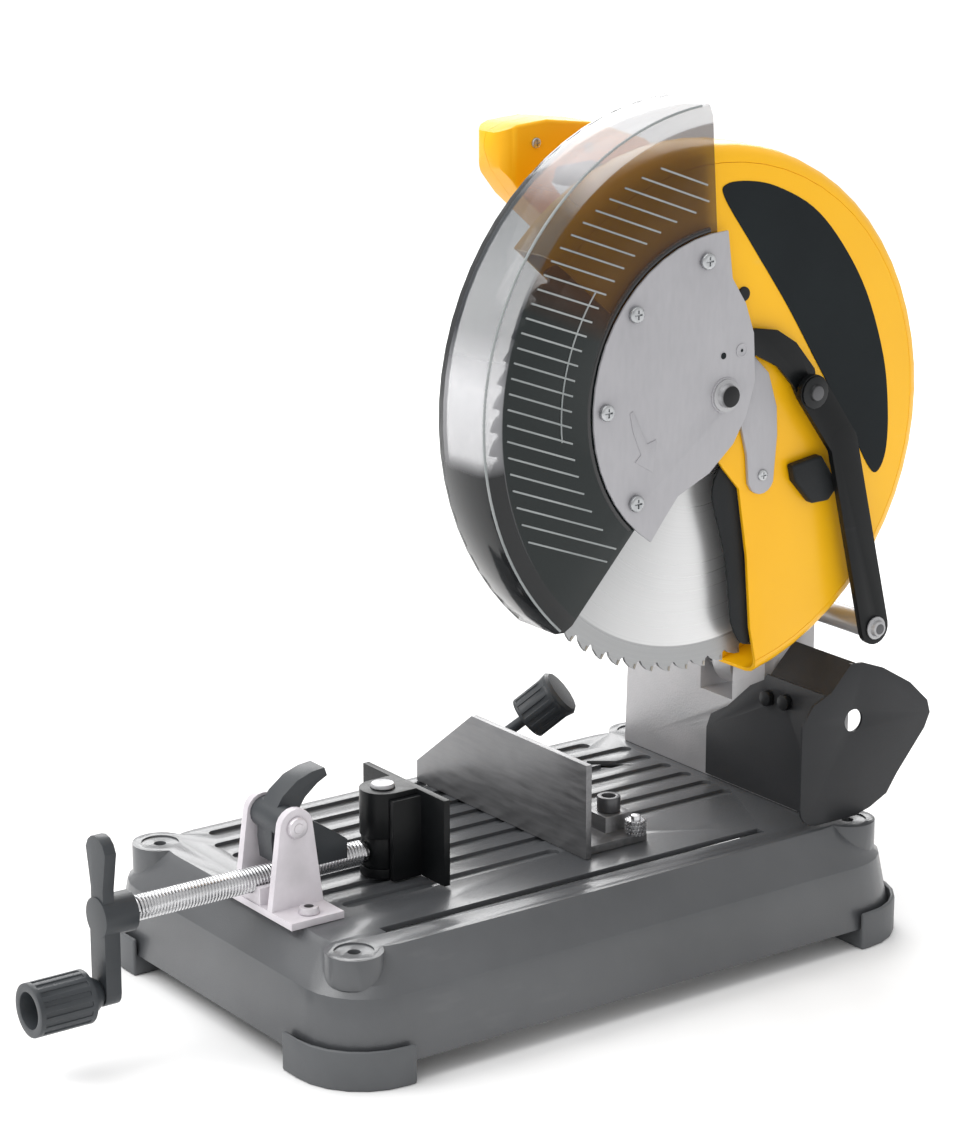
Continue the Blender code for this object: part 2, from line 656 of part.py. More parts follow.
def make_spindle_group(steel, bright, holder, arm):
    axis = (ARBOR_Y, ARBOR_Z)
    back = BLADE_LEFT_X - GAP
    shoulder = back - FLANGE_THICK - GAP
    end = BLADE_RIGHT_X + GAP + FLANGE_THICK
    bolt_hole = ARBOR_BOLT_R * 0.55
    profile = [(CASE_LEFT_X + 0.010, 0.0), (CASE_LEFT_X + 0.010, spindle_r()),
               (shoulder - 0.006, spindle_r()),
               (shoulder - 0.006, spindle_r() + 0.005), (shoulder, spindle_r() + 0.005),
               (shoulder, spindle_r()),
               (end - 0.002, spindle_r()), (end - 0.002, bolt_hole + RUN), (end - 0.020, bolt_hole + RUN),
               (end - 0.020, 0.0)]
    keep(turned("spindle", "X", axis, profile), steel, holder)
    for name, low in (("inner_flange", back - FLANGE_THICK), ("outer_flange", BLADE_RIGHT_X + GAP)):
        ring = tube(name, "X", axis, spindle_r() + RUN, FLANGE_R, low, low + FLANGE_THICK, 32)
        keep(ring, bright, holder)
    head = end + GAP
    bolt = [(end - 0.018, 0.0), (end - 0.018, bolt_hole), (head, bolt_hole), (head, ARBOR_BOLT_R + 0.004),
            (head + 0.0015, ARBOR_BOLT_R + 0.004), (head + 0.0015, ARBOR_BOLT_R),
            (head + ARBOR_BOLT_HEAD, ARBOR_BOLT_R),
            (head + ARBOR_BOLT_HEAD, 0.0)]
    keep(turned("arbor_bolt", "X", axis, bolt), steel, holder)
    blade = prism("saw_blade", moved(saw_outline(TEETH, BLADE_R, GULLET), axis), "X", BLADE_LEFT_X,
                  BLADE_RIGHT_X)
    cut(blade, disc("arbor", "X", axis, spindle_r() + RUN, BLADE_LEFT_X - WALL_BITE,
                    BLADE_RIGHT_X + WALL_BITE))
    keep(blade, bright, holder)
    tip = MODULE_R * GEAR_TEETH + TOOTH_HIGH
    facing = math.atan2(MOTOR_OFFSET_Z, MOTOR_OFFSET_Y)
    low = CASE_LEFT_X + 0.014
    gear = prism("spindle_gear", moved(toothed(GEAR_TEETH, tip - TOOTH_DEEP, tip, facing, True), axis), "X",
                 low, low + GEAR_THICK)
    cut(gear, disc("bore", "X", axis, spindle_r() + RUN, low - WALL_BITE, low + GEAR_THICK + WALL_BITE))
    keep(gear, steel, holder)
    right = GUARD_LEFT_X - 2 * GAP
    keep(tube("spindle_bearing", "X", axis, spindle_r() + RUN, bearing_outer(), right - 0.011, right),
         bright, arm)


# ---------------------------------------------------------------- motor
def make_motor(shell_material, steel, copper, dark, holder, rotor):
    axis = (MOTOR_Y, MOTOR_Z)
    right = MOTOR_RIGHT_X
    left = MOTOR_LEFT_X
    inner = MOTOR_R - MOTOR_WALL
    seat = MOTOR_SHAFT_R + 0.004
    profile = [(left, inner), (left, MOTOR_R), (right - 0.003, MOTOR_R), (right - 0.003, seat - 0.001),
               (right - 0.006, seat - 0.001), (right - 0.006, inner)]
    housing = turned("motor_housing", "X", axis, profile, 32, hollow=True)
    lid = prism("lid", belt((ARBOR_Y, ARBOR_Z), CASE_R, axis, CASE_MOTOR_R), "X", right - 0.0045, right)
    through = disc("through", "X", axis, seat, right - 0.02, right + WALL_BITE)
    keep(cut(join(housing, lid), through), shell_material, holder)
    make_motor_cap(dark, holder, axis, left)
    core_left = left + 0.016
    core_right = core_left + STATOR_LENGTH
    keep(tube("stator", "X", axis, ARMATURE_R + AIR_GAP, inner - GAP, core_left, core_right, 24), copper,
         holder)
    shaft_end = CASE_LEFT_X + 0.030
    shaft = [(left - 0.012, 0.0), (left - 0.012, MOTOR_SHAFT_R), (core_left, MOTOR_SHAFT_R),
             (core_left, ARMATURE_R),
             (core_right, ARMATURE_R), (core_right, MOTOR_SHAFT_R), (shaft_end, MOTOR_SHAFT_R),
             (shaft_end, 0.0)]
    keep(turned("armature", "X", axis, shaft), steel, rotor)
    make_fan(dark, rotor, axis, core_right + 0.006, inner - 0.003)
    tip = MODULE_R * PINION_TEETH + TOOTH_HIGH
    facing = math.atan2(-MOTOR_OFFSET_Z, -MOTOR_OFFSET_Y)
    low = CASE_LEFT_X + 0.014
    pinion = prism("motor_pinion", moved(toothed(PINION_TEETH, tip - TOOTH_DEEP, tip, facing, False), axis),
                   "X", low, low + GEAR_THICK)
    cut(pinion, disc("bore", "X", axis, MOTOR_SHAFT_R + RUN, low - WALL_BITE, low + GEAR_THICK + WALL_BITE,
                     16))
    keep(pinion, steel, rotor)


def make_motor_cap(material, holder, axis, left):
    outer = MOTOR_R - 0.001
    ring_out = MOTOR_SHAFT_R + 0.010
    far = left - CAP_LENGTH
    profile = [(far, 0.0), (far, outer - 0.010), (far + 0.008, outer), (left - GAP, outer),
               (left - GAP, outer - 0.003),
               (far + 0.010, outer - 0.003), (far + 0.004, outer - 0.012), (far + 0.004, ring_out),
               (far + 0.013, ring_out), (far + 0.013, ring_out - 0.004), (far + 0.003, ring_out - 0.004),
               (far + 0.003, 0.0)]
    cap = turned("motor_end_cap", "X", axis, profile, 24)
    vents = []
    for step in range(8):
        angle = math.tau * (step + 0.5) / 8
        spot = (axis[0] + 0.026 * math.cos(angle), axis[1] + 0.026 * math.sin(angle))
        vents.append(disc("vent", "X", spot, 0.004, far - WALL_BITE, far + 0.008, 8))
    keep(cut(cap, *vents), material, holder)


def make_fan(material, holder, axis, low, radius):
    hub = tube("cooling_fan", "X", axis, MOTOR_SHAFT_R + RUN, radius, low, low + 0.002, 24)
    blades = []
    for step in range(9):
        angle = math.tau * step / 9
        along = Vector((math.cos(angle), math.sin(angle)))
        across = Vector((-along.y, along.x)) * 0.001
        corners = [along * 0.012 - across, along * (radius - 0.002) - across,
                   along * (radius - 0.002) + across,
                   along * 0.012 + across]
        outline = [(axis[0] + c.x, axis[1] + c.y) for c in corners]
        blades.append(prism("blade_of_fan", outline, "X", low + 0.001, low + 0.010))
    keep(join(hub, *blades), material, holder)


# ---------------------------------------------------------------- upper guard
def guard_front_edge():
    """The free front edge of the right wall, from its low tip up to the arbor."""
    return [(0.134, 0.216), (0.119, 0.247), (0.1145, 0.300), (0.106, 0.350), (0.092, 0.366)]


def upper_guard_outline(radius):
    centre = (ARBOR_Y, ARBOR_Z)
    return arc(centre, radius, GUARD_START, GUARD_END, 36)


def rim_section(angle):
    """The guard's rounded rim at one angle round the arbor."""
    right = GUARD_RIGHT_X
    outer = [(GUARD_LEFT_X, GUARD_R), (right - 0.014, GUARD_R), (right - 0.007, GUARD_R - 0.0016),
             (right - 0.002, GUARD_R - 0.0058), (right, GUARD_R - GUARD_ROUND)]
    sheet = GUARD_SHEET
    inner = [(right - sheet, GUARD_R - GUARD_ROUND - 0.001), (right - sheet - 0.0016, GUARD_R - 0.0076),
             (right - sheet - 0.0055, GUARD_R - 0.0040), (right - 0.0145, GUARD_R - sheet),
             (GUARD_LEFT_X, GUARD_R - sheet)]
    turn = math.radians(angle)
    return [(x, ARBOR_Y + r * math.cos(turn), ARBOR_Z + r * math.sin(turn)) for x, r in outer + inner]


def make_upper_guard(material, holder):
    centre = (ARBOR_Y, ARBOR_Z)
    count = 36
    angles = [GUARD_START + (GUARD_END - GUARD_START) * i / count for i in range(count + 1)]
    guard = swept("upper_guard", [rim_section(angle) for angle in angles])
    face = upper_guard_outline(GUARD_R - GUARD_ROUND - 0.0004)
    right_wall = face + [(ARBOR_Y - 0.085, ARBOR_Z + 0.082), (ARBOR_Y - 0.030, ARBOR_Z + 0.020)]
    right_wall += guard_front_edge()[::-1][:-1]
    left_wall = upper_guard_outline(GUARD_R - 0.0005)
    left_wall += [(ARBOR_Y - 0.085, ARBOR_Z + 0.082), (ARBOR_Y - 0.040, ARBOR_Z),
                  (ARBOR_Y - 0.010, ARBOR_Z - 0.040),
                  (0.108, 0.300), (0.119, 0.247)]
    join(guard, prism("right_wall", right_wall, "X", GUARD_RIGHT_X - GUARD_SHEET + 0.00005,
                      GUARD_RIGHT_X - 0.00005),
         prism("left_wall", left_wall, "X", GUARD_LEFT_X + 0.00005, GUARD_LEFT_X + GUARD_SHEET))
    spindle_hole = disc("spindle_hole", "X", centre, bearing_outer() - 0.002, GUARD_LEFT_X - WALL_BITE,
                        GUARD_LEFT_X + 0.005)
    keep(cut(guard, spindle_hole), material, holder)


def make_guard_liner(material, holder):
    """A rubber strip that turns in from the wall's front edge towards the blade."""
    edge = guard_front_edge()[:4]
    left = BLADE_RIGHT_X + 0.0025
    right = GUARD_RIGHT_X - GUARD_SHEET - GAP
    thick = 0.0025
    sections = []
    for y, z in edge:
        sections.append([(left, y, z), (right, y, z), (right, y + thick, z + 0.001),
                         (left, y + thick, z + 0.001)])
    sections[0] = [(x, y + 0.001, z + 0.009) for x, y, z in sections[0]]
    keep(swept("guard_liner", sections), material, holder, smooth=False)


def make_guard_support(material, holder):
    """The bright bracket on the right wall that carries the lower guard's pivot screw."""
    centre = (ARBOR_Y, GUARD_PIVOT_Z)
    outline = (arc(centre, 0.016, 80, 280, 10) + [(0.104, 0.396), (0.110, 0.374), (0.112, 0.353)]
               + arc((0.1235, 0.3560), 0.0115, 225, 340, 6) + [(0.137, 0.385), (0.136, 0.405),
                       (0.128, 0.430), (0.115, 0.443)])
    plate = prism("guard_support", outline, "X", SUPPORT_X, SUPPORT_X + SUPPORT_THICK)
    hole = disc("hole", "X", centre, GUARD_SCREW_R + RUN, SUPPORT_X - WALL_BITE, SUPPORT_X + 0.006, 16)
    keep(cut(plate, hole), material, holder, smooth=False)
    profile = [(SUPPORT_X + GAP, 0.0), (SUPPORT_X + GAP, GUARD_SCREW_R),
               (PLATE_X + PLATE_THICK + GAP, GUARD_SCREW_R),
               (PLATE_X + PLATE_THICK + GAP, 0.0115), (PLATE_X + PLATE_THICK + 0.0020, 0.0115),
               (PLATE_X + PLATE_THICK + 0.0020, 0.0085), (PLATE_X + PLATE_THICK + 0.0065, 0.0075),
               (PLATE_X + PLATE_THICK + 0.0065, 0.0)]
    return profile


def make_bumper(material, holder):
    """The rubber block on the guard wall that ends the lever's travel."""
    outline = [(0.1478, 0.3622), (0.1508, 0.3499), (0.1668, 0.3320), (0.1824, 0.3320), (0.1914, 0.3416),
               (0.1748, 0.3661)]
    keep(prism("stop_bumper", outline, "X", SUPPORT_X, LEVER_RIGHT_X + 0.001), material, holder,
         smooth=False)


# ---------------------------------------------------------------- lower guard
def shroud_section():
    """The shroud's wall as (x, radius) points, from the far lip round to the inner edge of the face."""
    right = SHROUD_RIGHT_X
    wall = SHROUD_WALL
    outer = [(SHROUD_LEFT_X, SHROUD_R), (right - 0.010, SHROUD_R), (right - 0.003, SHROUD_R - 0.003),
             (right, SHROUD_R - 0.010), (right, SHROUD_INNER_R)]
    inner = [(right - wall, SHROUD_INNER_R), (right - wall, SHROUD_R - 0.011),
             (right - 0.0045, SHROUD_R - 0.0052),
             (right - 0.0105, SHROUD_R - wall), (SHROUD_LEFT_X, SHROUD_R - wall)]
    return outer + inner


def make_lower_guard(material, holder):
    centre = Vector((0.0, ARBOR_Y, GUARD_PIVOT_Z))
    steps = 26
    sections = []
    for step in range(steps + 1):
        share = step / steps
        angle = math.radians(SHROUD_START + (SHROUD_END - SHROUD_START) * share)
        out = Vector((0.0, math.cos(angle), math.sin(angle)))
        sections.append([centre + Vector((x, 0, 0)) + out * radius for x,
                         radius in shroud_section()])
    keep(swept("lower_guard", sections), material, holder)


def plate_outline():
    """The plate's edge: an arc about the guard pivot, then a stepped rear edge."""
    centre = (ARBOR_Y, GUARD_PIVOT_Z)
    return (arc(centre, PLATE_R, 90, 236, 20)
            + [(0.034, 0.344), (0.044, 0.356), (0.071, 0.368), (0.092, 0.386), (0.103, 0.404),
               (0.1105, 0.428),
               (0.1085, 0.461), (0.1005, 0.483), (0.0885, 0.501)])


def plate_screw_spots():
    return [(0.0648, 0.5154), (0.0044, 0.4860), (-0.0196, 0.4227), (0.0063, 0.3569)]


def make_guard_plate(material, holder, screw_profile, screw_material, arm):
    plate = prism("guard_plate", plate_outline(), "X", PLATE_X, PLATE_X + PLATE_THICK)
    centre = (ARBOR_Y, GUARD_PIVOT_Z)
    hole = disc("hole", "X", centre, GUARD_SCREW_R + RUN, PLATE_X - WALL_BITE,
                PLATE_X + PLATE_THICK + WALL_BITE, 16)
    keep(cut(plate, hole), material, holder, smooth=False)
    keep(turned("guard_pivot_screw", "X", centre, screw_profile, 24), screw_material, arm)
    face = PLATE_X + PLATE_THICK + GAP
    for number, spot in enumerate(plate_screw_spots(), 1):
        dome = [(face, 0.0), (face, 0.0058), (face + 0.0016, 0.0050), (face + 0.0028, 0.0028),
                (face + 0.0028, 0.0)]
        keep(turned(f"plate_screw_{number}", "X", spot, dome, 12), screw_material, holder)


def make_guard_lever(material, steel, holder):
    """The curved lever under the plate, which the link pushes on."""
    centre = (ARBOR_Y, GUARD_PIVOT_Z)
    hub = disc("guard_lever", "X", centre, 0.018, LEVER_X, LEVER_RIGHT_X)
    pin = (LINK_PIN_Y, LINK_PIN_Z)
    end = arc(pin, 0.0105, -110, 30, 7)
    band = ([(ARBOR_Y + 0.006, GUARD_PIVOT_Z + 0.006), (0.1129, 0.4447), (0.1330, 0.4340), (0.1470, 0.4190),
             (0.1525, 0.4085)]
            + end + [(0.1665, 0.4290), (0.1491, 0.4494), (0.1320, 0.4600), (0.1123, 0.4635),
                     (0.0950, 0.4590), (0.0800, 0.4370)])
    join(hub, prism("band", band, "X", LEVER_X, LEVER_RIGHT_X))
    cutters = [disc("hole", "X", centre, GUARD_SCREW_R + RUN, LEVER_X - WALL_BITE,
                    LEVER_RIGHT_X + WALL_BITE, 16),
               disc("hole", "X", pin, LINK_PIN_R + RUN, LEVER_X - WALL_BITE, LEVER_RIGHT_X + WALL_BITE, 16)]
    keep(cut(hub, *cutters), material, holder, smooth=False)
    head = LINK_RIGHT_X + GAP
    profile = [(LEVER_X + 0.0002, 0.0), (LEVER_X + 0.0002, LINK_PIN_R), (head, LINK_PIN_R), (head, 0.0115),
               (head + 0.0012, 0.0115), (head + 0.0012, 0.006), (head + 0.004, 0.005), (head + 0.004, 0.0)]
    keep(turned("link_pin", "X", pin, profile, 16), steel, holder)


def make_link(material, steel, holder, root):
    top = Vector((LINK_PIN_Y, LINK_PIN_Z))
    foot = Vector((LINK_FOOT_Y, LINK_FOOT_Z))
    bend = top + Vector((LINK_BEND_DY, LINK_BEND_DZ))
    bar = prism("guard_link", belt(tuple(foot), LINK_END_R, tuple(bend), LINK_END_R - 0.0002, 10), "X",
                LINK_X, LINK_RIGHT_X)
    crook = belt(tuple(bend), LINK_END_R - 0.0004, tuple(top), LINK_END_R, 10)
    join(bar, prism("crook", crook, "X", LINK_X + 0.00005, LINK_RIGHT_X - 0.00005))
    cut(bar, disc("hole", "X", tuple(top), LINK_HOLE_R, LINK_X - WALL_BITE, LINK_RIGHT_X + WALL_BITE, 16),
        disc("hole", "X", tuple(foot), LINK_PIN_R + RUN, LINK_X - WALL_BITE, LINK_RIGHT_X + WALL_BITE, 16))
    keep(bar, material, holder, smooth=False)
    end = LINK_X - GAP
    stub = CROSS_BAR_R * 0.7
    profile = [(BRACKET_RIGHT_X - 0.014, 0.0), (BRACKET_RIGHT_X - 0.014, stub),
               (BRACKET_RIGHT_X + GAP, stub),
               (BRACKET_RIGHT_X + GAP, CROSS_BAR_R), (end, CROSS_BAR_R), (end, LINK_PIN_R + RUN),
               (end - 0.016, LINK_PIN_R + RUN), (end - 0.016, 0.0)]
    keep(turned("link_cross_bar", "X", tuple(foot), profile, 20), steel, root)
    head = LINK_RIGHT_X + GAP
    bolt = [(end - 0.014, 0.0), (end - 0.014, LINK_PIN_R), (head, LINK_PIN_R), (head, 0.0085),
            (head + 0.0015, 0.0085),
            (head + 0.0015, 0.0062), (head + 0.0050, 0.0055), (head + 0.0050, 0.0)]
    keep(turned("link_bolt", "X", tuple(foot), bolt, 16), steel, root)


# ---------------------------------------------------------------- handle, trigger, cord gland
def handle_outline():
    foot = HANDLE_FOOT_Z
    return [(-0.036, 0.588), (-0.030, 0.572), (-0.014, 0.552), (0.020, 0.522), (0.066, 0.486),
            (0.072, 0.470),
            (0.072, foot), (0.148, foot), (0.152, 0.500), (0.142, 0.535), (0.122, 0.562), (0.090, 0.584),
            (0.045, 0.599), (0.005, 0.604), (-0.020, 0.602), (-0.033, 0.597)]


def handle_plan():
    """The handle seen from above: a round nose and straight sides."""
    nose = arc((HANDLE_X, HANDLE_NOSE_Y + HANDLE_HALF), HANDLE_HALF + 0.001, 180, 360, 10)
    return nose + [(HANDLE_X + HANDLE_HALF + 0.001, 0.16), (HANDLE_X - HANDLE_HALF - 0.001, 0.16)]


def finger_hole():
    return [(0.010, 0.560), (0.014, 0.571), (0.045, 0.573), (0.080, 0.560), (0.108, 0.534), (0.116, 0.505),
            (0.108, 0.490), (0.092, 0.490), (0.060, 0.512), (0.025, 0.543)]


def make_handle(material, dark, holder, trigger_holder):
    sides = [("handle_left", HANDLE_X - HANDLE_HALF, HANDLE_X - GAP / 2),
             ("handle_right", HANDLE_X + GAP / 2, HANDLE_X + HANDLE_HALF)]
    for name, low, high in sides:
        half = prism(name, handle_outline(), "X", low, high)
        hole = prism("hole", finger_hole(), "X", low - WALL_BITE, high + WALL_BITE)
        pocket = box("pocket", (HANDLE_X - 0.0085, 0.024, 0.560), (HANDLE_X + 0.0085, 0.066, 0.587))
        socket = disc("socket", "Y", (HANDLE_X, 0.488), 0.0083, 0.132, 0.160, 16)
        combine(half, [prism("plan", handle_plan(), "Z", 0.44, 0.62)], "INTERSECT")
        keep(cut(half, hole, pocket, socket), material, holder, smooth=False)
    outline = [(0.0265, 0.5555), (0.048, 0.553), (0.0630, 0.553), (0.0635, 0.5800), (0.0265, 0.5800)]
    keep(prism("trigger", outline, "X", HANDLE_X - 0.0080, HANDLE_X + 0.0080), dark, trigger_holder,
         smooth=False)
    profile = [(0.134, 0.0), (0.134, 0.008), (0.153, 0.008), (0.153, 0.011), (0.158, 0.011), (0.158, 0.008),
               (0.184, 0.0058), (0.184, 0.0036), (0.140, 0.0036), (0.140, 0.0)]
    keep(turned("cord_gland", "Y", (HANDLE_X, 0.488), profile, 16), dark, holder)


# ---------------------------------------------------------------- vise
def ear_outline():
    top = arc((EAR_Y, EAR_Z), EAR_R, 0, 180, 10)
    return top + [(EAR_Y - EAR_FOOT, BASE_DECK + FLANGE_HIGH * 0.5),
                  (EAR_Y + EAR_FOOT, BASE_DECK + FLANGE_HIGH * 0.5)]


def make_vise_bracket(material, steel, holder):
    left_out, left_in, right_in, right_out = ear_edges()
    foot = box("vise_bracket", (left_out - FLANGE_OUT, EAR_Y - EAR_FOOT, BASE_DECK),
               (right_out + FLANGE_OUT, EAR_Y + EAR_FOOT, BASE_DECK + FLANGE_HIGH))
    ears = [prism("ear", ear_outline(), "X", left_out, left_in),
            prism("ear", ear_outline(), "X", right_in, right_out)]
    cradle = box("cradle", (left_in - 0.001, EAR_Y - EAR_FOOT + 0.001, BASE_DECK + 0.001),
                 (SCREW_X + 0.014, EAR_Y + EAR_FOOT - 0.004, SCREW_Z - 0.002))
    join(foot, cradle, *ears)
    channel = disc("channel", "Y", (SCREW_X, SCREW_Z), SCREW_R + RUN, EAR_Y - 0.05, EAR_Y + 0.05, 24)
    pin = disc("pin", "X", (EAR_Y, EAR_Z), LEVER_PIN_R + RUN, left_out - WALL_BITE, right_out + WALL_BITE,
               16)
    holes = [disc("hole", "Z", spot, BRACKET_BOLT_R + RUN, BASE_DECK - WALL_BITE,
                  BASE_DECK + FLANGE_HIGH + WALL_BITE, 12)
             for spot in bracket_bolt_spots()]
    keep(cut(foot, channel, pin, *holes), material, holder)
    for number, spot in enumerate(bracket_bolt_spots(), 1):
        seat = BASE_DECK + FLANGE_HIGH + GAP
        low = BASE_TOP_Z - BASE_WALL - 0.004
        profile = [(low, 0.0), (low, BRACKET_BOLT_R), (seat, BRACKET_BOLT_R),
                   (seat, 0.0075), (seat + 0.0045, 0.0065), (seat + 0.0045, 0.0)]
        keep(turned(f"bracket_bolt_{number}", "Z", spot, profile, 12), steel, holder)
    left = left_out - 0.001
    right = right_out + GAP
    profile = [(left, 0.0), (left, LEVER_PIN_R), (right, LEVER_PIN_R), (right, 0.008),
               (right + 0.003, 0.007), (right + 0.003, 0.0)]
    keep(turned("lever_pin", "X", (EAR_Y, EAR_Z), profile, 16), steel, holder)


def make_release_lever(material, holder):
    """The thumb lever with the half nut that it drops on the screw."""
    left_in, right_in = ear_edges()[1:3]
    hub = disc("release_lever", "X", (EAR_Y, EAR_Z), 0.011, left_in + 2 * GAP, right_in - 2 * GAP, 20)
    handle = [(-0.220, 0.118), (-0.2215, 0.133), (-0.221, 0.150), (-0.212, 0.164), (-0.200, 0.173),
              (-0.188, 0.177),
              (-0.178, 0.178), (-0.176, 0.172), (-0.184, 0.168), (-0.194, 0.160), (-0.201, 0.150),
              (-0.204, 0.140),
              (-0.209, 0.128), (-0.214, 0.118)]
    arm = [(EAR_Y + 0.004, EAR_Z + 0.008), (NUT_Y + 0.004, SCREW_Z + 0.024),
           (NUT_Y + NUT_HALF, SCREW_Z + 0.018),
           (NUT_Y + NUT_HALF, SCREW_Z + 0.004), (NUT_Y - NUT_HALF, SCREW_Z + 0.004),
           (NUT_Y - NUT_HALF, SCREW_Z + 0.016),
           (EAR_Y + 0.002, EAR_Z - 0.010)]
    join(hub, prism("handle", handle, "X", SCREW_X - 0.005, SCREW_X + 0.013),
         prism("arm", arm, "X", SCREW_X - 0.011, SCREW_X + 0.0125))
    bore = disc("bore", "X", (EAR_Y, EAR_Z), LEVER_PIN_R + RUN, SCREW_X - 0.03, SCREW_X + 0.03, 16)
    nut = disc("nut", "Y", (SCREW_X, SCREW_Z), SCREW_R + RUN, NUT_Y - 0.03, NUT_Y + 0.03, 24)
    keep(cut(hub, bore, nut), material, holder)


def make_vise_screw(steel, dark, holder, knob_holder):
    eye_front = JAW_PIN_Y - JAW_BODY_R
    axis = (SCREW_X, SCREW_Z)
    front = SCREW_FRONT_Y + GAP
    tail = eye_front + 0.007
    profile = [(front, 0.0), (front, SCREW_R), (eye_front - GAP, SCREW_R), (eye_front - GAP, 0.005),
               (tail, 0.005), (tail, 0.0)]
    keep(turned("vise_screw", "Y", axis, profile, 24), steel, holder)
    make_crank(dark, holder)
    knob_z = SCREW_Z - CRANK_LONG
    base = CRANK_Y - GAP
    knob = [(base, 0.0), (base, 0.008), (base - 0.008, 0.008), (base - 0.014, KNOB_R - 0.003),
            (base - 0.022, KNOB_R),
            (base - KNOB_LONG - 0.008, KNOB_R), (base - KNOB_LONG - 0.010, KNOB_R - 0.003),
            (base - KNOB_LONG - 0.010, 0.012), (base - KNOB_LONG + 0.010, 0.011),
            (base - KNOB_LONG + 0.010, 0.0)]
    keep(turned("crank_knob", "Y", (SCREW_X, knob_z), knob, 24), dark, knob_holder)


def make_crank(material, holder):
    hub = disc("crank", "Y", (SCREW_X, SCREW_Z), HUB_R, CRANK_Y, SCREW_FRONT_Y)
    x, z = SCREW_X, SCREW_Z
    paddle = ([(x - 0.008, z - 0.004), (x - 0.008, z + 0.020), (x - 0.013, z + PADDLE_LONG - 0.010)]
              + arc((x, z + PADDLE_LONG - 0.013), 0.013, 165, 15, 6)
              + [(x + 0.013, z + PADDLE_LONG - 0.010), (x + 0.008, z + 0.020), (x + 0.008, z - 0.004)])
    low = belt((x, z), 0.010, (x, z - CRANK_LONG), 0.0098, 8)
    join(hub, prism("paddle", paddle, "Y", CRANK_Y + 0.001, CRANK_Y + 0.001 + CRANK_THICK * 0.7),
         prism("low", low, "Y", CRANK_Y + 0.0005, CRANK_Y + CRANK_THICK))
    keep(hub, material, holder)


def make_jaw(material, steel, carriage, holder):
    axis = (SCREW_X, JAW_PIN_Y)
    eye_low = SCREW_Z - EYE_HIGH / 2
    eye_high = SCREW_Z + EYE_HIGH / 2
    eye = disc("screw_eye", "Z", axis, JAW_BODY_R - 0.001, eye_low, eye_high)
    cut(eye, disc("bore", "Z", axis, JAW_PIN_R + RUN, eye_low - WALL_BITE, eye_high + WALL_BITE, 16),
        disc("tail", "Y", (SCREW_X, SCREW_Z), 0.005 + RUN, JAW_PIN_Y - 0.030,
             JAW_PIN_Y - JAW_BODY_R + 0.0075, 16))
    keep(eye, steel, carriage)
    plate = box("vise_jaw", (SCREW_X - JAW_HALF, JAW_FACE_Y - JAW_PLATE, JAW_LOW_Z),
                (SCREW_X + JAW_HALF, JAW_FACE_Y, JAW_HIGH_Z))
    lugs = []
    for low, high in ((JAW_LOW_Z, eye_low - GAP), (eye_high + GAP, JAW_HIGH_Z)):
        lug = ([(SCREW_X + JAW_BODY_R, JAW_FACE_Y - 0.002)] + [(SCREW_X - JAW_BODY_R, JAW_FACE_Y - 0.002)]
               + arc(axis, JAW_BODY_R, 180, 360, 14))
        lugs.append(prism("lug", lug, "Z", low, high))
    side = box("side", (SCREW_X + JAW_BODY_R + 0.0005, JAW_PIN_Y - 0.006, JAW_LOW_Z),
               (SCREW_X + JAW_BODY_R + 0.0055, JAW_FACE_Y - 0.002, JAW_HIGH_Z - 0.004))
    bridge = box("bridge", (SCREW_X, JAW_PIN_Y - 0.004, eye_high + 0.004),
                 (SCREW_X + JAW_BODY_R + 0.003, JAW_FACE_Y - 0.002, JAW_HIGH_Z - 0.006))
    join(plate, *lugs, side, bridge)
    bore = disc("bore", "Z", axis, JAW_PIN_R + RUN, JAW_LOW_Z - WALL_BITE, JAW_HIGH_Z + WALL_BITE, 16)
    keep(cut(plate, bore), material, holder)
    pin = [(JAW_LOW_Z + 0.001, 0.0), (JAW_LOW_Z + 0.001, JAW_PIN_R), (JAW_HIGH_Z + GAP, JAW_PIN_R),
           (JAW_HIGH_Z + GAP, 0.009), (JAW_HIGH_Z + 0.003, 0.008), (JAW_HIGH_Z + 0.003, 0.0)]
    keep(turned("jaw_pin", "Z", axis, pin, 16), steel, carriage)


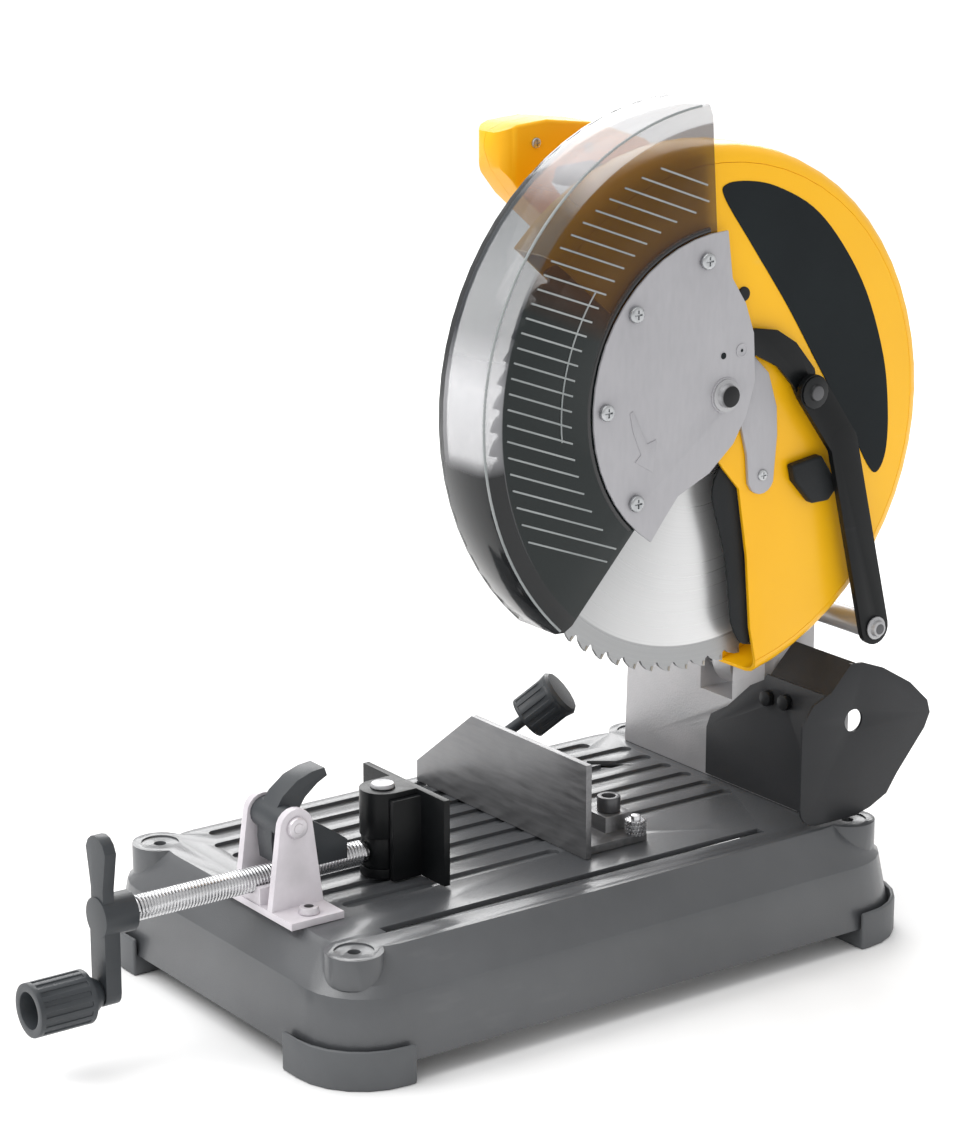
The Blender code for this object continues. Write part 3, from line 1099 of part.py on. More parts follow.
# ---------------------------------------------------------------- fence
def make_fence(material, steel, dark, holder, lock_holder, root):
    top = BASE_DECK + FENCE_HIGH
    face = [(FENCE_LEFT_X, BASE_DECK), (FENCE_RIGHT_X, BASE_DECK), (FENCE_RIGHT_X, top), (-0.056, top),
            (FENCE_LEFT_X, BASE_DECK + 0.016)]
    fence = prism("fence", face, "Y", FENCE_Y, FENCE_Y + FENCE_THICK)
    foot_z = BASE_DECK + 0.006
    foot = box("foot", (FENCE_LEFT_X + 0.016, FENCE_Y + FENCE_THICK - 0.001, BASE_DECK),
               (FENCE_RIGHT_X - 0.006, FENCE_Y + FENCE_FOOT, foot_z))
    block = box("block", (FENCE_PIVOT_X - 0.012, FENCE_PIVOT_Y - 0.012, foot_z - 0.001),
                (FENCE_PIVOT_X + 0.012, FENCE_PIVOT_Y + 0.012, foot_z + 0.012))
    join(fence, foot, block)
    holes = [disc("hole", "Z", (FENCE_PIVOT_X, FENCE_PIVOT_Y), FENCE_BOLT_R + RUN, BASE_DECK - WALL_BITE,
                  foot_z + 0.02, 16),
             disc("hole", "Z", (LOCK_X, LOCK_Y), LOCK_R + RUN, BASE_DECK - WALL_BITE, foot_z + WALL_BITE,
                  16)]
    keep(cut(fence, *holes), material, holder, smooth=False)
    seat = foot_z + 0.012 + GAP
    low = BASE_TOP_Z - BASE_WALL - 0.008
    profile = [(low, 0.0), (low, FENCE_BOLT_R), (seat, FENCE_BOLT_R), (seat, 0.0085),
               (seat + 0.011, 0.0085),
               (seat + 0.011, 0.005), (seat + 0.005, 0.005), (seat + 0.005, 0.0)]
    keep(turned("fence_pivot_bolt", "Z", (FENCE_PIVOT_X, FENCE_PIVOT_Y), profile, 20), steel, root)
    make_lock_lever(dark, lock_holder, foot_z + GAP)


def make_lock_lever(material, holder, seat):
    profile = [(BASE_TOP_Z - BASE_WALL - 0.006, 0.0), (BASE_TOP_Z - BASE_WALL - 0.006, LOCK_R),
               (seat, LOCK_R), (seat, 0.009),
               (seat + 0.014, 0.008), (seat + 0.018, 0.005), (seat + 0.018, 0.0)]
    lever = turned("fence_lock_lever", "Z", (LOCK_X, LOCK_Y), profile, 16)
    foot = Vector((LOCK_X, LOCK_Y, seat + 0.010))
    tip = Vector((LOCK_X + 0.045, LOCK_Y + 0.049, 0.156))
    neck = 0.60
    grip = rod_between("grip", foot, tip, [(0.0, 0.0045), (neck, 0.0042), (neck + 0.01, 0.0080), (0.66,
            0.0095),
                                           (0.72, 0.0145), (0.97, 0.0185), (1.0, 0.0165)], 14)
    keep(join(lever, grip), material, holder)


# ---------------------------------------------------------------- the whole saw
def clear_scene():
    for thing in list(bpy.data.objects):
        bpy.data.objects.remove(thing)


def centre_on_box(holder):
    """Moves the saw so that its bounding box is centred and stands on Z = 0."""
    bpy.context.view_layer.update()
    corners = [piece.matrix_world @ vert.co for piece in PARTS.values() for vert in piece.data.vertices]
    middle_x = (min(c.x for c in corners) + max(c.x for c in corners)) / 2
    middle_y = (min(c.y for c in corners) + max(c.y for c in corners)) / 2
    holder.location -= Vector((middle_x, middle_y, min(c.z for c in corners)))


def main():
    clear_scene()
    charcoal = finish("base_charcoal", (0.055, 0.060, 0.065), 0.5, 0.3)
    rubber = finish("black_rubber", (0.02, 0.02, 0.022), 0.75)
    casting = finish("cast_aluminium", (0.62, 0.62, 0.63), 0.4, 0.9)
    steel = finish("zinc_steel", (0.60, 0.61, 0.62), 0.3, 1.0)
    bright = finish("blade_steel", (0.72, 0.73, 0.74), 0.25, 1.0)
    black = finish("black_paint", (0.015, 0.017, 0.02), 0.45)
    yellow = finish("yellow_paint", (0.95, 0.50, 0.02), 0.35)
    plate = finish("plate_silver", (0.52, 0.52, 0.53), 0.4, 0.6)
    smoke = finish("smoke_plastic", (0.10, 0.10, 0.11), 0.15, 0.0, 0.45)
    dark = finish("dark_plastic", (0.06, 0.07, 0.08), 0.5)
    copper = finish("copper_winding", (0.55, 0.25, 0.10), 0.4, 0.8)
    fence_grey = finish("fence_grey", (0.30, 0.30, 0.31), 0.4, 0.8)

    root = body("saw", (0, 0, 0))
    arm = body("arm_axis", (0, PIVOT_Y, PIVOT_Z), root)
    blade = body("blade_axis", (BLADE_X, ARBOR_Y, ARBOR_Z), arm)
    rotor = body("armature_axis", (0, MOTOR_Y, MOTOR_Z), arm)
    guard = body("guard_axis", (PLATE_X, ARBOR_Y, GUARD_PIVOT_Z), arm)
    link = body("link_axis", (LINK_X, LINK_FOOT_Y, LINK_FOOT_Z), root)
    trigger = body("trigger_slide", (HANDLE_X, 0.045, 0.560), arm)
    carriage = body("vise_slide", (SCREW_X, JAW_PIN_Y, SCREW_Z), root)
    screw = body("screw_axis", (SCREW_X, SCREW_FRONT_Y, SCREW_Z), carriage)
    knob = body("knob_axis", (SCREW_X, CRANK_Y, SCREW_Z - CRANK_LONG), screw)
    jaw = body("jaw_axis", (SCREW_X, JAW_PIN_Y, JAW_LOW_Z), carriage)
    release = body("release_axis", (SCREW_X, EAR_Y, EAR_Z), root)
    fence = body("fence_axis", (FENCE_PIVOT_X, FENCE_PIVOT_Y, BASE_TOP_Z), root)
    lock = body("lock_axis", (LOCK_X, LOCK_Y, BASE_TOP_Z), fence)

    make_base(charcoal, root)
    make_feet(rubber, root)
    make_pivot_bracket(casting, root)
    make_pivot_shaft(steel, root)
    make_return_spring(steel, root)
    make_deflector(black, steel, root)
    make_arm(casting, arm)
    make_spindle_group(steel, bright, blade, arm)
    make_motor(yellow, steel, copper, dark, arm, rotor)
    make_upper_guard(yellow, arm)
    make_guard_liner(rubber, arm)
    screw_profile = make_guard_support(plate, arm)
    make_bumper(rubber, arm)
    make_lower_guard(smoke, guard)
    make_guard_plate(plate, guard, screw_profile, steel, arm)
    make_guard_lever(black, steel, guard)
    make_link(black, steel, link, root)
    make_handle(yellow, dark, arm, trigger)
    make_vise_bracket(casting, steel, root)
    make_release_lever(dark, release)
    make_vise_screw(steel, dark, screw, knob)
    make_jaw(black, steel, carriage, jaw)
    make_fence(fence_grey, steel, dark, fence, lock, root)
    centre_on_box(root)


main()
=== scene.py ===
# %% [markdown]
# # A metal-cutting chop saw
# The engineering model gives every part its true place and size. This lesson adds rounded edges, a
# thread on the screw, ribs on the guard, grooves in the deck, and a finish for each material. The
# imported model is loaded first, and nothing in it is moved or reshaped.

# %% Load the fixed frame
import json
import math

import bmesh
import bpy
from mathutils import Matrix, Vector

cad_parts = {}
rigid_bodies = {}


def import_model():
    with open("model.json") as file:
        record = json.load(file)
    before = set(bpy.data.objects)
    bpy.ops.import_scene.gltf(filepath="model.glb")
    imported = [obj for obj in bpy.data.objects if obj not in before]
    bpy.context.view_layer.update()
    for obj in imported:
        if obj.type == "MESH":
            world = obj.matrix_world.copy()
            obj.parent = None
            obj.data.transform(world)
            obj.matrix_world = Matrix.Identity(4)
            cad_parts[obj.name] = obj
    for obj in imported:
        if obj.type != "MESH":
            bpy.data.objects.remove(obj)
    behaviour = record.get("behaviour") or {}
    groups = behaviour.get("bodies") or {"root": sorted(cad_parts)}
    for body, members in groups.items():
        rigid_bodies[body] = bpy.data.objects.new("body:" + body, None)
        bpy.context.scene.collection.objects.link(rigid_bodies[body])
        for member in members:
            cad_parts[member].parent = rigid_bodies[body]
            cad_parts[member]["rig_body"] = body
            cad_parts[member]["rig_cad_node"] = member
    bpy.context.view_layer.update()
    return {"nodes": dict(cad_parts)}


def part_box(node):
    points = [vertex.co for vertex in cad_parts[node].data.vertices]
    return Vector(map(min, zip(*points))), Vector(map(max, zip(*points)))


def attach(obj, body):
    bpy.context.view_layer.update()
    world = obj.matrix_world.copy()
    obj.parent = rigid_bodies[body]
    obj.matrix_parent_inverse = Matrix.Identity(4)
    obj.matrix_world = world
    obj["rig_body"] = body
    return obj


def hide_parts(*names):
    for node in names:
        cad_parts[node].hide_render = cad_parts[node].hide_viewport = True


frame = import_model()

nodes = frame["nodes"]

# %% [markdown]
# A long lens from the front right, a little above the guard, shows the vise, the blade and the base
# together. It stands over two metres away, so that parallel edges stay nearly parallel.

# %% Camera
CAMERA_PLACE = (1.7874, -1.2540, 0.8990)
CAMERA_TILT = 74.36
CAMERA_TURN = 54.17
LENS_MM = 101.9
SENSOR_MM = 36.0
facing = (math.radians(CAMERA_TILT), 0, math.radians(CAMERA_TURN))
bpy.ops.object.camera_add(location=CAMERA_PLACE, rotation=facing)
camera = bpy.context.object
camera.data.lens = LENS_MM
camera.data.sensor_width = SENSOR_MM
bpy.context.scene.camera = camera
print("camera lens in mm:", round(camera.data.lens, 1))

# %% [markdown]
# Small tools come next. Operators act on all that is selected, so one helper selects exactly what the
# next step needs. Another picks faces or edges by a test, such as where they lie or which way they
# face. The rest round edges, cut, join, and give a piece its finish and its body.

# %% Selecting and finishing
def select_only(*things):
    if bpy.context.object and bpy.context.object.mode != "OBJECT":
        bpy.ops.object.mode_set(mode="OBJECT")
    bpy.ops.object.select_all(action="DESELECT")
    for thing in things:
        thing.select_set(True)
    bpy.context.view_layer.objects.active = things[0]


def pick(piece, kind, test):
    """In edit mode, selects the faces or edges that pass a test."""
    select_only(piece)
    bpy.ops.object.mode_set(mode="EDIT")
    bpy.ops.mesh.select_mode(type=kind)
    bpy.ops.mesh.select_all(action="DESELECT")
    mesh = bmesh.from_edit_mesh(piece.data)
    found = [item for item in (mesh.faces if kind == "FACE" else mesh.edges) if test(item)]
    for item in found:
        item.select_set(True)
    bmesh.update_edit_mesh(piece.data)


def leave_edit():
    bpy.ops.object.mode_set(mode="OBJECT")


def smooth(piece, angle=35):
    select_only(piece)
    bpy.ops.object.shade_smooth_by_angle(angle=math.radians(angle))


def apply_place(piece):
    select_only(piece)
    bpy.ops.object.transform_apply(location=True, rotation=True, scale=True)


def soften(piece, width, segments=2, angle=35):
    """Rounds every edge sharper than the angle, as a mould or a file would."""
    select_only(piece)
    bpy.ops.object.modifier_add(type="BEVEL")
    bevel = piece.modifiers[-1]
    bevel.width = width
    bevel.segments = segments
    bevel.limit_method = "ANGLE"
    bevel.angle_limit = math.radians(angle)
    bevel.use_clamp_overlap = True
    bpy.ops.object.modifier_apply(modifier=bevel.name)
    smooth(piece)


def carve(piece, tool):
    """Cuts a tool out of a piece, and removes the tool."""
    select_only(piece)
    bpy.ops.object.modifier_add(type="BOOLEAN")
    change = piece.modifiers[-1]
    change.operation = "DIFFERENCE"
    change.solver = "EXACT"
    change.object = tool
    bpy.ops.object.modifier_apply(modifier=change.name)
    bpy.data.objects.remove(tool)


def join_all(name, things):
    select_only(*things)
    if len(things) > 1:
        bpy.ops.object.join()
    joined = bpy.context.object
    joined.name = name
    joined.data.name = name
    apply_place(joined)
    return joined


def wear(piece, material, body, stands_for=()):
    """Gives a finished piece its material and its body."""
    piece.data.materials.clear()
    piece.data.materials.append(material)
    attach(piece, body)
    if stands_for:
        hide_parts(*stands_for)
    return piece


# %% [markdown]
# A CAD node is loose triangles. A copy of it, with its doubles merged and its flat faces made whole,
# takes a bevel well, and the bright line of a rounded edge is much of what makes metal look real.

# %% Copies of CAD nodes
def copy_of(node, name):
    source = nodes[node]
    select_only(source)
    bpy.ops.object.duplicate()
    piece = bpy.context.object
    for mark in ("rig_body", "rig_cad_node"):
        if mark in piece:
            del piece[mark]
    piece.parent = None
    piece.name = name
    piece.data.name = name
    bpy.ops.object.mode_set(mode="EDIT")
    bpy.ops.mesh.select_all(action="SELECT")
    bpy.ops.mesh.remove_doubles(threshold=0.00002)
    bpy.ops.mesh.dissolve_limited(angle_limit=math.radians(0.8))
    leave_edit()
    bpy.ops.mesh.customdata_custom_splitnormals_clear()
    return piece


def body_of(node):
    return nodes[node]["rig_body"]


def refine(node, material, width, segments=2, angle=35):
    """A copy of a node with rounded edges, standing for it."""
    piece = copy_of(node, node + "_finished")
    soften(piece, width, segments, angle)
    return wear(piece, material, body_of(node), [node])


# %% [markdown]
# Shader sums read best as sums. The Wire class wraps a socket, so that noise * 0.2 + 0.4 adds its
# Math nodes, and Finish holds a material's tree and makes every other kind of node.

# %% Finishes: the two classes
class Wire:
    def __init__(self, finish, socket):
        self.finish = finish
        self.socket = socket

    def sum(self, operation, first, second):
        return self.finish.node("ShaderNodeMath", {"operation": operation}, {0: first, 1: second})

    def __add__(self, other):
        return self.sum("ADD", self, other)

    def __radd__(self, other):
        return self.sum("ADD", other, self)

    def __sub__(self, other):
        return self.sum("SUBTRACT", self, other)

    def __rsub__(self, other):
        return self.sum("SUBTRACT", other, self)

    def __mul__(self, other):
        return self.sum("MULTIPLY", self, other)

    def __rmul__(self, other):
        return self.sum("MULTIPLY", other, self)

    def __pow__(self, other):
        return self.sum("POWER", self, other)


class Finish:
    def __init__(self, name, roughness, metallic=0.0, coat=0.0, shine=0.5):
        self.material = bpy.data.materials.new(name)
        self.material.use_nodes = True
        self.tree = self.material.node_tree
        self.shader = self.tree.nodes["Principled BSDF"]
        self.shader.inputs["Roughness"].default_value = roughness
        self.shader.inputs["Metallic"].default_value = metallic
        self.shader.inputs["Coat Weight"].default_value = coat
        self.shader.inputs["Coat Roughness"].default_value = 0.15
        self.shader.inputs["Specular IOR Level"].default_value = shine

    def node(self, kind, settings=None, inputs=None, output=0):
        """Makes a node, with its settings first and then its inputs, and returns one output."""
        made = self.tree.nodes.new(kind)
        for key, value in (settings or {}).items():
            if key == "stops":
                self.set_stops(made.color_ramp, value)
            else:
                setattr(made, key, value)
        for key, value in (inputs or {}).items():
            if isinstance(value, Wire):
                self.tree.links.new(value.socket, made.inputs[key])
            else:
                made.inputs[key].default_value = value
        return Wire(self, made.outputs[output])

    def set_stops(self, ramp, stops):
        for index, (place, colour) in enumerate(stops):
            stop = ramp.elements[index] if index < 2 else ramp.elements.new(place)
            stop.position = place
            stop.color = (*colour, 1.0)

    def place(self, scale=(1, 1, 1), centre=(0, 0, 0)):
        here = self.node("ShaderNodeTexCoord", output="Object")
        shift = [-c * s for c, s in zip(centre, scale)]
        return self.node("ShaderNodeMapping", None, {"Vector": here, "Scale": scale, "Location": shift})

    def noise(self, scale, detail=3.0, stretch=(1, 1, 1)):
        wants = {"Vector": self.place(stretch), "Scale": scale, "Detail": detail}
        return self.node("ShaderNodeTexNoise", None, wants)

    def spread(self, value, low, high, to_low=0.0, to_high=1.0):
        ends = {"From Min": low, "From Max": high, "To Min": to_low, "To Max": to_high}
        return self.node("ShaderNodeMapRange", None, {"Value": value, **ends})

    def mix(self, share, first, second):
        wants = {"Factor": share, 6: self.colour(first), 7: self.colour(second)}
        return self.node("ShaderNodeMix", {"data_type": "RGBA"}, wants, output=2)

    def colour(self, value):
        return value if isinstance(value, Wire) else (*value, 1.0)

    def feed(self, name, value):
        self.tree.links.new(value.socket, self.shader.inputs[name])

    def bump(self, height, distance):
        made = self.node("ShaderNodeBump", None, {"Height": height, "Distance": distance, "Strength": 1.0})
        self.feed("Normal", made)


# %% [markdown]
# Most surfaces share one idea: a fine grain that the light catches, a broad cloud that keeps the
# colour from being flat, and a few rubbed spots. Only the scales and amounts differ.

# %% Finishes: painted, cast, moulded
UNEVEN = 0.10


def grained(name, dark, light, roughness, grain, depth, metallic=0.0, coat=0.0, cloud=18.0, shine=0.5):
    finish = Finish(name, roughness, metallic, coat, shine)
    broad = finish.noise(cloud, 4.0)
    fine = finish.noise(grain, 2.0)
    finish.feed("Base Color", finish.mix(finish.spread(broad, 0.3, 0.7), dark, light))
    both = fine * 0.5 + broad * 0.5
    finish.feed("Roughness", finish.spread(both, 0.3, 0.7, roughness - UNEVEN, roughness + UNEVEN))
    finish.bump(fine, depth)
    return finish.material


def rubbed(name, dark, light, scuff, roughness, grain, depth, coat=0.1, shine=0.4):
    """Paint with a few pale scuffs where hands and chips have been."""
    finish = Finish(name, roughness, 0.0, coat, shine)
    broad = finish.noise(9.0, 5.0)
    fine = finish.noise(grain, 2.0)
    marks = finish.noise(60.0, 6.0, (1.0, 0.25, 1.0))
    worn = finish.spread(marks * broad, 0.40, 0.50)
    paint = finish.mix(finish.spread(broad, 0.3, 0.7), dark, light)
    finish.feed("Base Color", finish.mix(worn * 0.35, paint, scuff))
    finish.feed("Roughness", finish.spread(fine, 0.3, 0.7, roughness - 0.06, roughness + 0.08) + worn * 0.15)
    finish.bump(fine, depth)
    return finish.material


charcoal = rubbed("charcoal_sand_paint", (0.056, 0.059, 0.064), (0.086, 0.090, 0.096), (0.14, 0.14, 0.145),
                  0.36, 1500, 0.00012, coat=0.3, shine=0.6)
yellow_paint = rubbed("yellow_guard_paint", (0.96, 0.49, 0.002), (1.0, 0.53, 0.004), (0.85, 0.56, 0.12),
                      0.36, 900, 0.00003, coat=0.15, shine=0.3)
yellow_nylon = grained("yellow_nylon", (0.93, 0.44, 0.002), (0.98, 0.49, 0.004), 0.44, 1800, 0.00005,
                       shine=0.3)
black_paint = rubbed("satin_black_paint", (0.004, 0.0045, 0.005), (0.008, 0.009, 0.010), (0.05, 0.05, 0.05),
                     0.34, 1200, 0.00004, coat=0.0, shine=0.2)
sheet_paint = rubbed("sheet_black_paint", (0.022, 0.023, 0.025), (0.034, 0.035, 0.038), (0.07, 0.07, 0.07),
                     0.42, 1200, 0.00004, coat=0.0, shine=0.25)
rubber = grained("moulded_rubber", (0.008, 0.009, 0.010), (0.016, 0.018, 0.020), 0.55, 1300, 0.00010,
                 shine=0.25)
foot_rubber = grained("foot_rubber", (0.075, 0.079, 0.084), (0.105, 0.110, 0.116), 0.50, 1300, 0.00008)
dark_plastic = grained("dark_grained_plastic", (0.022, 0.026, 0.030), (0.040, 0.045, 0.051), 0.42, 1700,
                       0.00010)
label_and_shade_black = grained("label_and_shade_black", (0.004, 0.007, 0.009), (0.007, 0.011, 0.013), 0.38, 700, 0.00001,
                      shine=0.15)
cast = grained("sand_cast_aluminium", (0.42, 0.42, 0.43), (0.51, 0.50, 0.51), 0.42, 700, 0.00016,
               metallic=0.55, cloud=30)
white_cast = grained("pale_zinc_casting", (0.60, 0.57, 0.60), (0.74, 0.70, 0.74), 0.42, 600, 0.00012,
                     metallic=0.1, cloud=35)
copper = grained("lacquered_winding", (0.40, 0.17, 0.06), (0.62, 0.29, 0.11), 0.38, 900, 0.0002, metallic=0.8)


# %% [markdown]
# Ground steel is streaked. Stretching the noise along the grinding direction makes straight streaks,
# and reading the noise by the distance from the arbor makes the rings of a turned disc. A fan of light
# and dark by angle on the disc is painted reflection.

# %% Finishes: metals
def streaked(name, dark, light, roughness, stretch, metallic=1.0, depth=0.00003):
    finish = Finish(name, roughness, metallic)
    streaks = finish.noise(260.0, 3.0, stretch)
    broad = finish.noise(25.0, 4.0)
    finish.feed("Base Color", finish.mix(finish.spread(streaks * 0.6 + broad * 0.4, 0.3, 0.7), dark, light))
    finish.feed("Roughness", finish.spread(streaks, 0.3, 0.7, roughness - 0.08, roughness + 0.10))
    finish.bump(streaks, depth)
    return finish.material


def turned_disc(name, dark, light, roughness, centre, band=1.0, metallic=0.75):
    """Rings and a painted radial sheen, a reflection painted into the colour, about an X axis through the
    centre, with a plain band outside.
    """
    finish = Finish(name, roughness, metallic)
    offset = finish.place(centre=centre)
    parts = finish.tree.nodes.new("ShaderNodeSeparateXYZ")
    finish.tree.links.new(offset.socket, parts.inputs[0])
    y, z = Wire(finish, parts.outputs[1]), Wire(finish, parts.outputs[2])
    radius = (y * y + z * z) ** 0.5
    along = finish.node("ShaderNodeCombineXYZ", None, {0: radius, 1: 0.0, 2: 0.0})
    rings = finish.node("ShaderNodeTexNoise", None, {"Vector": along, "Scale": 900.0, "Detail": 3.0})
    angle = finish.node("ShaderNodeMath", {"operation": "ARCTAN2"}, {0: z, 1: y})
    # Painted reflection: light and dark sectors by angle, as a turned disc would reflect the lamps.
    painted_sheen = finish.node("ShaderNodeMath", {"operation": "SINE"}, {0: angle * 2.0 + 4.2}) * 0.5 + 0.5
    broad = finish.noise(14.0, 4.0)
    inside = finish.spread(radius, band, band + 0.0006, 1.0, 0.0)
    share = (rings * 0.22 + painted_sheen * 0.65 + broad * 0.13) * inside + (1.0 - inside) * (rings * 0.2 + 0.12)
    finish.feed("Base Color", finish.mix(share, dark, light))
    finish.feed("Roughness", finish.spread(rings, 0.3, 0.7, roughness - 0.07, roughness + 0.10))
    finish.bump(rings, 0.00003)
    return finish.material


blade_low, blade_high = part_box("saw_blade")
arbor = (blade_low + blade_high) / 2
zinc = streaked("zinc_plated_steel", (0.36, 0.37, 0.38), (0.58, 0.59, 0.60), 0.30, (1, 1, 1))
bright_steel = streaked("bright_steel", (0.52, 0.52, 0.53), (0.78, 0.78, 0.79), 0.24, (1, 0.1, 1))
fence_steel = streaked("ground_fence_steel", (0.15, 0.15, 0.155), (0.27, 0.27, 0.275), 0.38, (0.12, 1, 1),
                       0.7)
plate_paint = streaked("silver_plate_paint", (0.385, 0.38, 0.40), (0.435, 0.43, 0.45), 0.42, (1, 1, 0.3),
                       0.15, 0.00001)
BAND_IN = 0.0188
print("blade from arbor to tip, in metres:", round((blade_high.y - blade_low.y) / 2, 4))
blade_steel = turned_disc("turned_blade_steel", (0.20, 0.205, 0.21), (0.86, 0.86, 0.86), 0.32, arbor,
                          (blade_high.y - blade_low.y) / 2 - BAND_IN)
flange_steel = turned_disc("turned_flange_steel", (0.35, 0.35, 0.36), (0.62, 0.62, 0.63), 0.25, arbor)
carbide = grained("brazed_carbide", (0.24, 0.22, 0.19), (0.38, 0.35, 0.30), 0.34, 1500, 0.00004, metallic=0.8)


def socketed(node, rim, hole, axis, share):
    """A screw's finish: one colour, with painted shade for a dark socket in the middle of its head."""
    low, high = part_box(node)
    finish = Finish(node + "_finish", 0.34, 0.5)
    offset = finish.place(centre=(low + high) / 2)
    parts = finish.tree.nodes.new("ShaderNodeSeparateXYZ")
    finish.tree.links.new(offset.socket, parts.inputs[0])
    first, second = [Wire(finish, parts.outputs[i]) for i in range(3) if i != axis]
    radius = (first * first + second * second) ** 0.5
    wide = min(high[i] - low[i] for i in range(3) if i != axis) / 2 * share
    outside = finish.spread(radius, wide, wide * 1.12)
    tone = finish.noise(400.0, 2.0) * 0.25 + 0.85
    # The socket is painted shade: a dark disc where the recess would be, with only a bump for its depth.
    finish.feed("Base Color", finish.mix(outside, hole, finish.mix(tone, [c * 0.7 for c in rim], rim)))
    finish.feed("Roughness", finish.spread(tone, 0.85, 1.1, 0.28, 0.44))
    finish.bump(outside, 0.0004)
    return finish.material


# %% [markdown]
# The lower guard is tinted plastic. Alpha sets how much shows through: little over the blade, more
# over the yellow guard, and about half through the rim. The upper wall is tinted orange as painted light
# from the yellow guard behind. The rim's colour runs through a ramp, from dark to pale along its turn,
# as painted reflection bands such as bent clear plastic shows.

# %% Finishes: tinted plastic
screw_low, screw_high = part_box("guard_pivot_screw")
guard_pivot = (screw_low + screw_high) / 2
RIM_INNER = 0.1870


def smoke_finish():
    """Clearer at the top with a painted orange glow there, darker over the blade, and solid black at the tip
    and the left edge; painted reflection bands on the rim.
    """
    finish = Finish("smoke_polycarbonate", 0.10, 0.0, 0.12, 0.3)
    offset = finish.place(centre=guard_pivot)
    parts = finish.tree.nodes.new("ShaderNodeSeparateXYZ")
    finish.tree.links.new(offset.socket, parts.inputs[0])
    x, y, z = [Wire(finish, parts.outputs[i]) for i in range(3)]
    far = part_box("lower_guard")[0].x - guard_pivot.x
    edge = finish.spread(x, far + 0.0050, far + 0.0062, 1.0, 0.0)
    radius = (y * y + z * z) ** 0.5
    turn = finish.node("ShaderNodeMath", {"operation": "ARCTAN2"}, {0: z, 1: 0.0 - y})
    rim = finish.spread(radius, RIM_INNER - 0.0012, RIM_INNER)
    tip = finish.spread(turn, -0.16, -0.10, 1.0, 0.0)
    upper = finish.spread(turn, 0.42, 0.62)
    cloud = finish.noise(12.0, 3.0)
    wall_alpha = 0.91 - upper * 0.43 + cloud * 0.04
    # The rim's ramp is painted reflection: dark and pale bands by turn, as bent clear plastic shows.
    painted_rim_reflections = finish.node("ShaderNodeValToRGB", {"stops": [(0.0, (0.03, 0.03, 0.03)), (0.35, (0.5, 0.5, 0.52)),
                                                         (0.44, (0.06, 0.065, 0.075)),
                                                         (0.66, (0.10, 0.11, 0.12)),
                                                         (0.74, (0.6, 0.6, 0.62)),
                                                         (1.0, (0.75, 0.75, 0.76))]},
                        {"Fac": finish.spread(turn, -0.6, 1.5)})
    # Painted light: the upper wall turns orange as if lit by the yellow guard behind it.
    smoke_with_painted_glow = finish.mix(upper, (0.006, 0.011, 0.011), (0.065, 0.024, 0.006))
    solid = rim * (tip + edge - tip * edge)
    finish.feed("Base Color", finish.mix(solid, finish.mix(rim, smoke_with_painted_glow, painted_rim_reflections), (0.012, 0.013, 0.014)))
    finish.feed("Alpha", wall_alpha * (1.0 - rim) + rim * 0.56 + solid * 0.42)
    finish.feed("Roughness", finish.spread(finish.noise(300.0), 0.3, 0.7, 0.06, 0.16))
    return finish.material


smoke = smoke_finish()
print("tinted plastic:", smoke.name)
# Painted highlight: the pale colour of the clear ribs and of the guard's near edge stands in for the light
# they catch.
rib_highlight_paint = grained("painted_rib_highlight", (0.22, 0.24, 0.24), (0.34, 0.36, 0.36), 0.25, 900, 0.00002)
bead_black = grained("gloss_black_bead", (0.006, 0.006, 0.007), (0.012, 0.012, 0.013), 0.16, 500, 0.00002,
                     coat=0.4)

# %% [markdown]
# The base is one pressing with grooves along its deck. Each groove is cut from a copy of the shell
# with its own tool: a cube stretched along Y, with its upright edges rounded.

# %% Base: the deck grooves
base_low, base_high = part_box("base_shell")
deck_z = base_high.z
middle_y = (base_low.y + base_high.y) / 2
GROOVE_DEEP = 0.0026
GROOVE_WIDE = 0.0112
GROOVE_PITCH = 0.0245
LONG_GROOVES = 7
FIRST_GROOVE_X = -0.118
SHORT_GROOVE_X = 0.056
BOSS_FROM_SIDE, BOSS_FROM_END = 0.039, 0.036


def groove_tool(x, front, rear):
    """A rounded bar, half above the deck and half below it."""
    bpy.ops.mesh.primitive_cube_add(size=1, location=(x, (front + rear) / 2, deck_z))
    tool = bpy.context.object
    tool.dimensions = (GROOVE_WIDE, rear - front, 2 * GROOVE_DEEP)
    apply_place(tool)
    pick(tool, "EDGE", lambda edge: abs(edge.verts[0].co.z - edge.verts[1].co.z) > GROOVE_DEEP)
    bpy.ops.mesh.bevel(offset=GROOVE_WIDE * 0.49, segments=4, affect="EDGES")
    leave_edit()
    return tool


def deck_grooves():
    front = base_low.y + 0.063
    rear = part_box("pivot_bracket")[0].y - 0.008
    fence_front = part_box("fence")[0].y - 0.004
    bars = []
    for step in range(LONG_GROOVES):
        x = FIRST_GROOVE_X + step * GROOVE_PITCH
        start = front + (0.010 if step == 0 else 0.0)
        bars.append((x, start, rear - (0.022 if step == 0 else 0.0)))
    bars.append((SHORT_GROOVE_X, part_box("vise_bracket")[1].y + 0.012, fence_front))
    tools = [groove_tool(*bar) for bar in bars]
    print(len(tools), "deck grooves")
    return tools


base = copy_of("base_shell", "base_shell_finished")
for tool in deck_grooves():
    carve(base, tool)


def boss_rings():
    """A shallow washer seat round each corner hole."""
    side = base_high.x - BOSS_FROM_SIDE
    reach = (base_high.y - base_low.y) / 2 - BOSS_FROM_END
    seats = []
    for sx in (-1, 1):
        for sy in (-1, 1):
            bpy.ops.mesh.primitive_cylinder_add(vertices=32, radius=0.0135, depth=0.003,
                                                location=(sx * side, middle_y + sy * reach, deck_z + 0.0003))
            seats.append(bpy.context.object)
    return seats


for seat in boss_rings():
    carve(base, seat)
soften(base, 0.0012, 2, 28)
wear(base, charcoal, "base", ["base_shell"])
print("base faces:", len(base.data.polygons))
